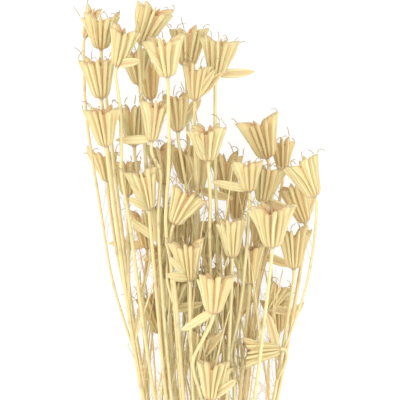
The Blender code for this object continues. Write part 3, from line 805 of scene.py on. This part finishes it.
def grow_leaf(growth, start, way, tint):
    """What is left of a finely cut leaf: one long thread with a few short ones."""
    dice = growth.dice
    length = dice.uniform(20, 50) * MM
    line = grow_thread(growth, start, way, length, 0.13, LEAF_RADIUS, (0.05, 0.25), tint, pieces=7)
    for _ in range(dice.choice((1, 2, 3, 4))):
        k = dice.randint(2, 6)
        ahead = (line[k] - line[k - 1]).normalized()
        off = ahead + Vector([dice.uniform(-0.7, 0.7) for _ in range(3)])
        short = length * dice.uniform(0.3, 0.6)
        grow_thread(growth, line[k], off, short, 0.2, LEAFLET_RADIUS, (0.08, 0.3), tint, pieces=4)


def grow_twig(growth, points, tint):
    """A thin side twig that bears no head, broken off at its end."""
    dice = growth.dice
    y = dice.uniform(40, 230) * MM
    spot = Vector([np.interp(y, points[:, 1], points[:, axis]) for axis in range(3)])
    inward = Vector((-spot[0], 0, 45 * MM - spot[2])) * 2
    way = Vector((dice.uniform(-0.16, 0.16), 1, dice.uniform(-0.1, 0.1))) + inward
    length = dice.uniform(70, 170) * MM
    line = wander(growth, spot, way, length, 0.035, TWIG_PIECES)
    radii = [TWIG_RADIUS - 0.05 * MM * k for k in range(TWIG_PIECES + 1)]
    ages = [0.05] * TWIG_PIECES + [0.5]
    sweep(growth, line, radii, ages, TWIG_SIDES, tint, across=1.0)


def head_place(shoot):
    """The matrix from a head's own frame to the bunch."""
    side, top = head_frame(shoot.axis)
    turn = Matrix((Vector(side), Vector(top), Vector(shoot.axis))).transposed().to_4x4()
    return Matrix.Translation(Vector(shoot.foot)) @ turn


def ring_and_side(co, rings, sides):
    """Which ring and which side of a unit ball a point of it is on; ring 0 is its lowest point."""
    ring = round((1.0 - math.acos(max(-1.0, min(1.0, co.z))) / math.pi) * (rings - 1))
    side = round(math.atan2(co.y, co.x) / (2 * math.pi) * sides) % sides
    return ring, side


def finer_pods(shoot, dice):
    """The pods of a head, more than its plain solid has, and as tall and wide as the nearest of those."""
    count = round(FINER_PODS * len(shoot.pods))
    turn = 2 * math.pi / count
    first = shoot.pods[0][0]
    pods = []
    for k in range(count):
        compass = first + turn * (k + dice.uniform(-0.14, 0.14))
        nearest = max(shoot.pods, key=lambda pod: math.cos(pod[0] - compass))
        pods.append((compass, nearest[1] * dice.uniform(0.92, 1.03), nearest[2] * dice.uniform(0.91, 1.04)))
    return pods


def balls_in_the_way(shoots, ways):
    """For all heads and stalks, as balls: whose each ball is, its centre and its radius."""
    owners, centres, sizes = [], [], []
    heights = np.arange(ways.shape[1]) * LEVEL_STEP - TAIL_LENGTH
    for shoot, way in zip(shoots, ways):
        present = ~np.isnan(way[:, 0])
        line = np.vstack([np.column_stack([way[present, 0], heights[present], way[present, 1]]), shoot.foot])
        along = np.arange(line[0, 1], line[-1, 1], 0.25 * LEVEL_STEP)
        points = np.column_stack([np.interp(along, line[:, 1], line[:, axis]) for axis in range(3)])
        balls = list(shoot.balls()) + [(at, shoot.radius + SPLAY_HALF_WIDTH) for at in points]
        owners += [shoot] * len(balls)
        centres += [at for at, _ in balls]
        sizes += [size for _, size in balls]
    return np.array(owners), np.array(centres), np.array(sizes)


def way_with_room(shoot, balls, dice):
    """Which way a splayed pod can point, round and outwards, clear of other heads and stalks, or None."""
    owners, centres, sizes = balls
    others = owners != shoot
    centres, sizes = centres[others], sizes[others]
    low, high = cad_box
    best, most = None, SPLAY_ROOM
    for _ in range(SPLAY_TRIES):
        compass = dice.choice((0, 180)) + dice.uniform(-65, 65)
        droop = dice.triangular(24, 120, 45)
        way = shoot.fallen_way(compass, droop)
        spots = [shoot.foot + way * reach * MM for reach in (11, 16, 21, 26, 31)]
        room = min((np.linalg.norm(centres - spot, axis=1) - sizes).min() for spot in spots)
        tip = spots[-1]
        if room > most and low[0] < tip[0] < high[0] and SPLAY_LOWEST < tip[2] < high[2]:
            best, most = (compass, droop), room
    return best


def grow_pod(growth, shoot, pod, thick, to_bunch, head_tint):
    """One flat pod of a head, and perhaps its style."""
    dice = growth.dice
    compass, reach, tall = pod
    tint = 0.6 * head_tint + 0.4 * dice.random()
    start = dice.uniform(0, 80)
    curl = dice.uniform(-1.3, 1.3)
    twist = dice.uniform(-0.15, 0.15)
    if dice.random() < LEANING_CHANCE:
        twist = dice.choice((-1, 1)) * dice.uniform(0.3, 0.7)
    plump = thick * dice.uniform(0.8, 1.1)
    beak = dice.uniform(-1.2, 1.4)
    last = len(POD_RINGS) - 1
    grown = bmesh.ops.create_uvsphere(growth.bm, u_segments=len(POD_SECTION), v_segments=last, radius=1.0)
    for vert in grown["verts"]:
        ring, side = ring_and_side(vert.co, len(POD_RINGS), len(POD_SECTION))
        inner_radius, inner_height, outer_radius, outer_height, thickness, age = POD_RINGS[ring]
        share, lean = POD_SECTION[side]
        radius = inner_radius + share * (outer_radius - inner_radius)
        height = inner_height + share * (outer_height - inner_height)
        upper = min(max(height / 25.0, 0.0), 1.0) ** 2
        radius *= 1.0 + (reach - 1.0) * upper
        height *= 1.0 + (tall - 1.0) * upper
        aside = 0.5 * thickness * plump * lean + curl * upper * upper + twist * upper * (radius - 8.0)
        wrinkle = noise.noise(Vector((0.3 * radius, start, 0.16 * height)))
        aside += RIPPLE / MM * wrinkle * (1.0 if 0 < ring < last else 0.0)
        if ring == last:
            height += beak
        place_in_head = in_head(shoot, compass, radius * MM, aside * MM, height * MM)
        vert.co = to_bunch @ Vector(place_in_head)
        # Painted shade: the inner edge of an open pod's mouth is darkened as a slit
        if ring in MOUTH_RINGS and side == INNER_EDGE:
            age += 0.3
        grain = (9.0 * share + start, aside + start, 0.12 * height + start)
        # Fold to ridge from the pod's inner to its outer edge, lower still by its foot: painted shade deep in
        # the head
        growth.mark(vert, grain, share * (0.7 if ring == 1 else 1.0), age, tint)
    if dice.random() < STYLE_CHANCE:
        tip = Vector(in_head(shoot, compass, 16.4 * reach * MM, curl * MM, (30.0 * tall + beak) * MM))
        before = Vector(in_head(shoot, compass, 15.6 * reach * MM, 0.6 * curl * MM, 28.0 * tall * MM))
        astray = Vector([dice.uniform(-0.4, 0.4) for _ in range(3)])
        way = (tip - before).normalized() + Vector((0, 0, 0.8)) + astray
        length = dice.uniform(5.0, 14.0) * MM
        spot = to_bunch @ (tip - (tip - before) * 0.4)
        bend = dice.uniform(0.15, 0.5)
        grow_thread(growth, spot, to_bunch.to_3x3() @ way, length, bend, STYLE_RADIUS, (0.35, 0.9), tint)


def grow_fallen_pod(growth, shoot, compass, droop, head_tint):
    """A pod that has dropped or splayed outwards and opened like a boat."""
    way = Vector(shoot.fallen_way(compass, droop))
    thin = way.cross(Vector(shoot.axis)).normalized()
    broad = thin.cross(way)
    root = Vector(shoot.foot) + Vector(shoot.axis) * 2.5 * MM
    start = growth.dice.uniform(0, 80)
    last = len(FALLEN_RINGS) - 1
    grown = bmesh.ops.create_uvsphere(growth.bm, u_segments=FALLEN_SIDES, v_segments=last, radius=1.0)
    for vert in grown["verts"]:
        ring, side = ring_and_side(vert.co, len(FALLEN_RINGS), FALLEN_SIDES)
        reach, half, thick = FALLEN_RINGS[ring]
        angle = 2 * math.pi * side / FALLEN_SIDES
        lift = thick * math.sin(angle)
        if side == FALLEN_SEAM:
            lift = -0.2 * thick
        rise = 2.2 * (reach / FALLEN_RINGS[last][0]) ** 2
        off = broad * (half * math.cos(angle) + rise) + thin * lift
        vert.co = root + (way * reach + off) * MM
        grain = (half * math.cos(angle) + start, lift + start, 0.12 * reach + start)
        age = 0.5 if ring in (0, last) else 0.0
        # Painted shade along the opened seam: low on the fold ramp and darkened with the aged colour
        if side == FALLEN_SEAM:
            growth.mark(vert, grain, 0.5, 0.35 + age, head_tint)
        else:
            growth.mark(vert, grain, 0.9, age, head_tint)


def grow_core(growth, shoot, to_bunch, tint):
    """The closed middle of a head, seen between its pods."""
    bm = growth.bm
    verts = [bm.verts.new((radius * MM, 0, height * MM)) for radius, height in CORE_OUTLINE]
    edges = [bm.edges.new(pair) for pair in zip(verts[:-1], verts[1:])]
    bmesh.ops.spin(
        bm,
        geom=verts + edges,
        cent=(0, 0, 0),
        axis=(0, 0, 1),
        angle=2 * math.pi,
        steps=CORE_SEGMENTS,
        use_merge=True,
    )
    grown = dict.fromkeys(verts)
    faces = dict.fromkeys(face for vert in verts for face in vert.link_faces)
    while faces:
        found = dict.fromkeys(vert for face in faces for vert in face.verts if vert not in grown)
        grown.update(found)
        faces = dict.fromkeys(face for vert in found for face in vert.link_faces)
    poles = [vert for vert in grown if math.hypot(vert.co.x, vert.co.y) < 0.01 * MM]
    bmesh.ops.remove_doubles(bm, verts=poles, dist=0.01 * MM)
    for vert in [vert for vert in grown if vert.is_valid]:
        x, y, z = vert.co
        vert.co = to_bunch @ Vector((x * shoot.girth, y * shoot.girth, z * shoot.stretch))
        growth.mark(vert, (x / MM, y / MM, 0.12 * z / MM), CORE_SHADE_ACROSS, CORE_AGE, tint)


def grow_head(growth, shoot, balls):
    """A seed head: its pods round their closed middle, and perhaps some that are splayed out."""
    to_bunch = head_place(shoot)
    tint = growth.dice.uniform(0.0, 0.7)
    grow_core(growth, shoot, to_bunch, tint)
    pods = finer_pods(shoot, growth.dice)
    thick = min(max(USUAL_PODS / len(pods), 0.85), 1.4)
    for pod in pods:
        grow_pod(growth, shoot, pod, thick, to_bunch, tint)
    for compass, droop in shoot.head.fallen:
        grow_fallen_pod(growth, shoot, compass, droop, tint)
    for _ in range(growth.dice.choice(SPLAYED_PODS) - len(shoot.head.fallen)):
        splayed = way_with_room(shoot, balls, growth.dice)
        if splayed:
            grow_fallen_pod(growth, shoot, *splayed, tint)


def stalk_rings(growth, shoot, way):
    """Points, radii and ages of a stalk's rings, from its cut end or fork to inside its head."""
    dice = growth.dice
    present = ~np.isnan(way[:, 0])
    heights = np.arange(len(way)) * LEVEL_STEP - TAIL_LENGTH
    line = np.column_stack([way[present, 0], heights[present], way[present, 1]])
    line = needed_points(line)
    neck = min(5.0 * MM, 0.5 * np.linalg.norm(shoot.foot - line[-1]))
    line = np.vstack([line, shoot.foot - shoot.axis * neck])
    run = np.concatenate([[0.0], np.cumsum(np.linalg.norm(np.diff(line, axis=0), axis=1))])
    rings = [(at, 1.0 + dice.uniform(-0.04, 0.04), 0.0) for at in run]
    if shoot.parent is None:
        rings[0] = (0.0, 0.93, 0.8)
        rings.append((0.4 * MM, 1.02, 0.35))
        rings.append((2.5 * MM, 1.0, 0.1))
    else:
        rings[0] = (0.0, 1.0, 0.1)
        rings.append((5.0 * MM, 1.25, 0.15))
        rings.append((9.0 * MM, 1.0, 0.0))
    knot = dice.uniform(40, 90) * MM
    while knot < run[-1] - 30 * MM:
        rings += [(knot - 3.2 * MM, 1.0, 0.0), (knot, 1.16, 0.3), (knot + 3.2 * MM, 1.0, 0.0)]
        knot += dice.uniform(45, 110) * MM
    rings.sort()
    kept = [rings[0]]
    for ring in rings[1:]:
        if ring[0] - kept[-1][0] > 0.3 * MM:
            kept.append(ring)
    at = np.array([ring[0] for ring in kept])
    points = np.column_stack([np.interp(at, run, line[:, axis]) for axis in range(3)])
    head_radius = min(1.3 * MM, 1.15 * shoot.radius)
    thick = [shoot.radius + (head_radius - shoot.radius) * a / run[-1] for a in at]
    radii = [STALK_FULLNESS * radius * ring[1] for radius, ring in zip(thick, kept)]
    ages = [ring[2] for ring in kept]
    for rise, size, age in HEAD_SWELLING:
        if rise * MM > -neck:
            points = np.vstack([points, shoot.foot + shoot.axis * rise * MM])
            radii.append(head_radius * size)
            ages.append(age)
    return points, radii, ages


def grow_stalk(growth, shoot, way):
    """A stalk with its knots, and the twigs and leaf threads that are left on it."""
    dice = growth.dice
    points, radii, ages = stalk_rings(growth, shoot, way)
    tint = 0.2 + 0.4 * dice.random()
    sweep(growth, points, radii, ages, STALK_SIDES, tint, across=1.0, ribs=RIB_DEPTH)
    if shoot.parent is None:
        for _ in range(TWIGS_ON_STALK):
            grow_twig(growth, points, 0.2 + 0.6 * dice.random())
    lowest = max(points[0][1] + 8 * MM, 110 * MM)
    highest = min(shoot.foot[1] - 12 * MM, 420 * MM)
    for _ in range(LEAVES_ON_STALK if shoot.parent is None else LEAVES_ON_SHOOT):
        if highest < lowest:
            break
        y = dice.triangular(lowest, highest, lowest + 0.35 * (highest - lowest))
        spot = Vector([np.interp(y, points[:, 1], points[:, axis]) for axis in range(3)])
        inward = Vector((-spot[0] - 4 * MM, 0, 45 * MM - spot[2])) * 12
        out = (Vector((dice.uniform(-1, 1), 0, dice.uniform(-1, 1))) + inward).normalized()
        spread = dice.uniform(0.15, 0.8)
        grow_leaf(growth, spot + out * 0.8 * MM, out * spread + Vector((0, 1, 0)), 0.3 + 0.7 * dice.random())


def make_stems(finish):
    """One piece for each stem, in place of its plain solid."""
    shoots = all_shoots()
    ways = bend_clear(shoots, first_layout(shoots))
    balls = balls_in_the_way(shoots, ways)
    dice = random.Random(SEED + 1)
    for stem in STEMS:
        growth = Growth(dice)
        for index, shoot in enumerate(shoots):
            if shoot.stem == stem:
                grow_stalk(growth, shoot, ways[index])
                grow_head(growth, shoot, balls)
        piece = growth.piece(stem + "_straw", finish)
        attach(piece, "root")
        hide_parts(stem)


def make_tie(finish):
    """Twisted twine wound round the stems, its ends tucked between the turns and the stems."""
    growth = Growth(random.Random(SEED + 2))
    steps = STEPS_IN_TURN * TIE_TURNS
    radius = TIE_INNER_RADIUS + 0.5 * TWINE_DIAMETER
    for ply in range(TWINE_PLIES):
        line = []
        for k in range(steps + 1):
            turn = 2 * math.pi * TIE_TURNS * k / steps
            end = min(k, steps - k) / TUCKED_STEPS
            tuck = TUCK_DEPTH * max(1.0 - end, 0.0) ** 2
            along = (k / steps - 0.5) * (TIE_TURNS - 1) * TWINE_DIAMETER
            twist = radius * turn / TWINE_LAY * 2 * math.pi + ply * 2 * math.pi / TWINE_PLIES
            out = radius - tuck + PLY_OFFSET * math.cos(twist)
            y = along + PLY_OFFSET * math.sin(twist)
            x = out * math.sin(turn)
            z = TIE_HEIGHT + out * math.cos(turn)
            line.append((x, y, max(z, 0.55 * MM)))
        radii = [PLY_RADIUS * (1.0 + growth.dice.uniform(-0.06, 0.06)) for _ in line]
        ages = [0.1] * len(line)
        sweep(growth, line, radii, ages, PLY_SIDES, growth.dice.random(), across=0.6)
    for _ in range(TWINE_HAIRS):
        turn = growth.dice.uniform(-2.2, 2.2)
        y = growth.dice.uniform(-0.5, 0.5) * TIE_TURNS * TWINE_DIAMETER
        out = Vector((math.sin(turn), 0, math.cos(turn)))
        spot = out * (radius + 0.7 * MM) + Vector((0, y, TIE_HEIGHT))
        way = out * 0.5 + Vector([growth.dice.uniform(-1, 1) for _ in range(3)])
        length = growth.dice.uniform(1.5, 4.0) * MM
        grow_thread(growth, spot, way, length, 0.5, HAIR_RADIUS, (0.1, 0.1), 0.5, pieces=3)
    piece = growth.piece("tie_twine", finish, levels=0)
    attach(piece, "root")
    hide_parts("tie")


def add(tree, kind, inputs=(), **settings):
    """A new node with its settings, and its inputs by name: values, or sockets to link from."""
    made = tree.nodes.new(kind)
    for name, value in settings.items():
        setattr(made, name, value)
    for name, value in dict(inputs).items():
        if isinstance(value, bpy.types.NodeSocket):
            tree.links.new(value, made.inputs[name])
        else:
            made.inputs[name].default_value = value
    return made


def blend(tree, share, first, second, way="MIX"):
    """The socket of a colour mixed from two."""
    mix = tree.nodes.new("ShaderNodeMix")
    mix.data_type = "RGBA"
    mix.blend_type = way
    for socket, value in zip((mix.inputs[0], mix.inputs[6], mix.inputs[7]), (share, first, second)):
        if isinstance(value, bpy.types.NodeSocket):
            tree.links.new(value, socket)
        else:
            socket.default_value = value
    return mix.outputs[2]


def dry_fibres():
    """A node group: fibres along a grain, veins beside them, and slow mottling and small flecks."""
    group = bpy.data.node_groups.new("dry_fibres", "ShaderNodeTree")
    face = group.interface
    face.new_socket("Grain", in_out="INPUT", socket_type="NodeSocketVector")
    face.new_socket("Fineness", in_out="INPUT", socket_type="NodeSocketFloat")
    face.new_socket("Vein Spacing", in_out="INPUT", socket_type="NodeSocketFloat")
    for name in ("Fibre", "Vein", "Mottle", "Fleck"):
        face.new_socket(name, in_out="OUTPUT", socket_type="NodeSocketFloat")
    entry = group.nodes.new("NodeGroupInput")
    leave = group.nodes.new("NodeGroupOutput")
    grain = entry.outputs["Grain"]
    fineness, spacing = entry.outputs["Fineness"], entry.outputs["Vein Spacing"]
    fibre = add(group, "ShaderNodeTexNoise", {"Vector": grain, "Scale": fineness, "Detail": 3.0})
    waves = {"Vector": grain, "Scale": spacing, "Distortion": 1.0, "Detail": 1.0, "Detail Scale": 0.6}
    vein = add(group, "ShaderNodeTexWave", waves, bands_direction="X")
    mottle = add(group, "ShaderNodeTexNoise", {"Vector": grain, "Scale": 0.32, "Detail": 2.0})
    spots = add(group, "ShaderNodeTexNoise", {"Vector": grain, "Scale": 1.5, "Detail": 1.0})
    fleck = add(group, "ShaderNodeMapRange", {"Value": spots.outputs[0], "From Min": 0.66, "From Max": 0.76})
    group.links.new(fibre.outputs[0], leave.inputs["Fibre"])
    group.links.new(vein.outputs[1], leave.inputs["Vein"])
    group.links.new(mottle.outputs[0], leave.inputs["Mottle"])
    group.links.new(fleck.outputs[0], leave.inputs["Fleck"])
    return group


def new_finish(name):
    """A new material, with its nodes and its shader."""
    made = bpy.data.materials.new(name)
    made.use_nodes = True
    return made, made.node_tree, made.node_tree.nodes["Principled BSDF"]


def attribute(tree, name):
    """A node that reads what the growth wrote at each point."""
    return add(tree, "ShaderNodeAttribute", attribute_name=name)


def fibre_marks(tree, group, fineness, spacing):
    """The group of fibres in a material, reading the piece's own grain."""
    made = tree.nodes.new("ShaderNodeGroup")
    made.node_tree = group
    tree.links.new(attribute(tree, "grain").outputs["Vector"], made.inputs["Grain"])
    made.inputs["Fineness"].default_value = fineness
    made.inputs["Vein Spacing"].default_value = spacing
    return made.outputs


def scaled(tree, socket, by, plus=0.0):
    """A value times a number, plus a number, kept from 0 to 1."""
    made = add(tree, "ShaderNodeMath", operation="MULTIPLY_ADD", use_clamp=True)
    tree.links.new(socket, made.inputs[0])
    if isinstance(by, bpy.types.NodeSocket):
        tree.links.new(by, made.inputs[1])
    else:
        made.inputs[1].default_value = by
    made.inputs[2].default_value = plus
    return made.outputs[0]


def straw_finish(group):
    """Bleached straw: pale on the outer ridges, with painted shade that is darker and redder toward the folds
    and inner edges, browner nearer the floor and dark in open slits; with fibres, flecks and aged tips.
    """
    made, tree, shader = new_finish("bleached_straw")
    marks = fibre_marks(tree, group, 1.3, 0.11)
    across = attribute(tree, "across").outputs["Fac"]
    age = attribute(tree, "age").outputs["Fac"]
    tint = attribute(tree, "tint").outputs["Fac"]
    # Painted shade: the straw turns darker and redder from the ridges toward the folds and inner edges
    ramp = add(tree, "ShaderNodeValToRGB", {"Fac": across})
    stops = ramp.color_ramp.elements
    stops[0].position, stops[0].color = 0.0, FOLD_SHADE
    stops[1].position, stops[1].color = 0.92, RIDGE
    middle = stops.new(0.6)
    middle.color = FLANK_SHADE
    colour = ramp.outputs["Color"]
    # Browner by the tint: each head's and stalk's own tone, and painted shade nearer the floor; paler where
    # the tint is low
    colour = blend(tree, scaled(tree, tint, 0.8, -0.4), colour, BROWN_AND_SHADE)
    colour = blend(tree, scaled(tree, tint, -0.9, 0.35), colour, BLEACHED)
    colour = blend(tree, scaled(tree, marks["Mottle"], 1.4, -0.62), colour, MOTTLED)
    colour = blend(tree, scaled(tree, marks["Fibre"], 0.9, -0.25), colour, FIBROUS)
    colour = blend(tree, scaled(tree, marks["Vein"], -0.6, 0.4), colour, VEINED)
    colour = blend(tree, scaled(tree, marks["Fleck"], 0.35), colour, FLECKED)
    # Aged tips, cut ends, knots and collars, and painted shade in open slits and opened seams
    colour = blend(tree, scaled(tree, age, 1.0), colour, AGED_AND_SLIT_SHADE)
    tree.links.new(colour, shader.inputs["Base Color"])
    tree.links.new(scaled(tree, marks["Fibre"], 0.4, 0.42), shader.inputs["Roughness"])
    folds = {0: marks["Vein"], 1: 0.7, 2: marks["Fibre"]}
    height = add(tree, "ShaderNodeMath", folds, operation="MULTIPLY_ADD")
    bump = add(tree, "ShaderNodeBump", {"Strength": 0.7, "Distance": 0.6 * MM, "Height": height.outputs[0]})
    tree.links.new(bump.outputs[0], shader.inputs["Normal"])
    shader.inputs["Specular IOR Level"].default_value = 0.35
    shader.inputs["Subsurface Weight"].default_value = 0.2
    shader.inputs["Subsurface Scale"].default_value = 2.0 * MM
    return made


def twine_finish(group):
    """Natural twine: tan fibres twisted together, with darker fibres, paler plies and dark flecks."""
    made, tree, shader = new_finish("natural_twine")
    marks = fibre_marks(tree, group, 3.0, 0.9)
    tint = attribute(tree, "tint").outputs["Fac"]
    colour = blend(tree, scaled(tree, marks["Fibre"], 1.3, -0.2), TWINE_DEEP, TWINE_TAN)
    colour = blend(tree, scaled(tree, tint, 0.25), colour, TWINE_PALE)
    colour = blend(tree, scaled(tree, marks["Fleck"], 0.5), colour, TWINE_FLECK)
    tree.links.new(colour, shader.inputs["Base Color"])
    shader.inputs["Roughness"].default_value = 0.85
    bump = add(tree, "ShaderNodeBump", {"Strength": 0.7, "Distance": 0.2 * MM, "Height": marks["Fibre"]})
    tree.links.new(bump.outputs[0], shader.inputs["Normal"])
    return made


def floor_finish():
    """A plain pale floor, faintly clouded, with a glow of its own that keeps shadows light."""
    made, tree, shader = new_finish("pale_floor")
    where = add(tree, "ShaderNodeTexCoord").outputs["Object"]
    cloud = add(tree, "ShaderNodeTexNoise", {"Vector": where, "Scale": 3.0, "Detail": 1.0}).outputs[0]
    colour = blend(tree, cloud, FLOOR_GREY, FLOOR_CLOUD)
    tree.links.new(colour, shader.inputs["Base Color"])
    shader.inputs["Emission Color"].default_value = FLOOR_GLOW
    shader.inputs["Emission Strength"].default_value = FLOOR_GLOW_STRENGTH
    shader.inputs["Roughness"].default_value = 0.9
    return made


def make_floor():
    """The floor, a little under the bunch."""
    bm = bmesh.new()
    bmesh.ops.create_grid(bm, x_segments=1, y_segments=1, size=FLOOR_HALF_WIDTH)
    mesh = bpy.data.meshes.new("floor")
    bm.to_mesh(mesh)
    bm.free()
    mesh.transform(Matrix.Translation((0, 0, -FLOOR_DROP)))
    mesh.materials.append(floor_finish())
    floor = bpy.data.objects.new("floor", mesh)
    bpy.context.scene.collection.objects.link(floor)


def softbox(name, place_at, power, size):
    """A square soft light that looks at the middle of the picture."""
    light = bpy.data.lights.new(name, "AREA")
    light.shape = "SQUARE"
    light.size = size
    light.energy = power
    light.color = LAMP_COLOUR
    lamp = bpy.data.objects.new(name, light)
    lamp.location = place_at
    lamp.rotation_euler = (Vector(VIEW_MIDDLE) - Vector(place_at)).to_track_quat("-Z", "Y").to_euler()
    bpy.context.scene.collection.objects.link(lamp)


def set_light():
    """Plain soft studio light."""
    scene = bpy.context.scene
    scene.view_settings.view_transform = "Standard"
    world = bpy.data.worlds.new("studio")
    world.use_nodes = True
    sky = world.node_tree.nodes["Background"]
    sky.inputs["Color"].default_value = SKY_COLOUR
    sky.inputs["Strength"].default_value = SKY_STRENGTH
    scene.world = world
    for name, (place_at, power, size) in SOFTBOXES.items():
        softbox(name, place_at, power, size)


def set_camera():
    """The camera, straight over the bunch at the photograph's frame."""
    lens = bpy.data.cameras.new("camera")
    lens.lens = FOCAL_LENGTH
    lens.sensor_width = SENSOR_WIDTH
    lens.clip_end = 20.0
    camera = bpy.data.objects.new("camera", lens)
    away = VIEW_WIDTH * FOCAL_LENGTH / SENSOR_WIDTH
    camera.location = (VIEW_MIDDLE[0], VIEW_MIDDLE[1], VIEW_MIDDLE[2] + away)
    bpy.context.scene.collection.objects.link(camera)
    bpy.context.scene.camera = camera


fibres = dry_fibres()
make_stems(straw_finish(fibres))
make_tie(twine_finish(fibres))
make_floor()
set_light()
set_camera()
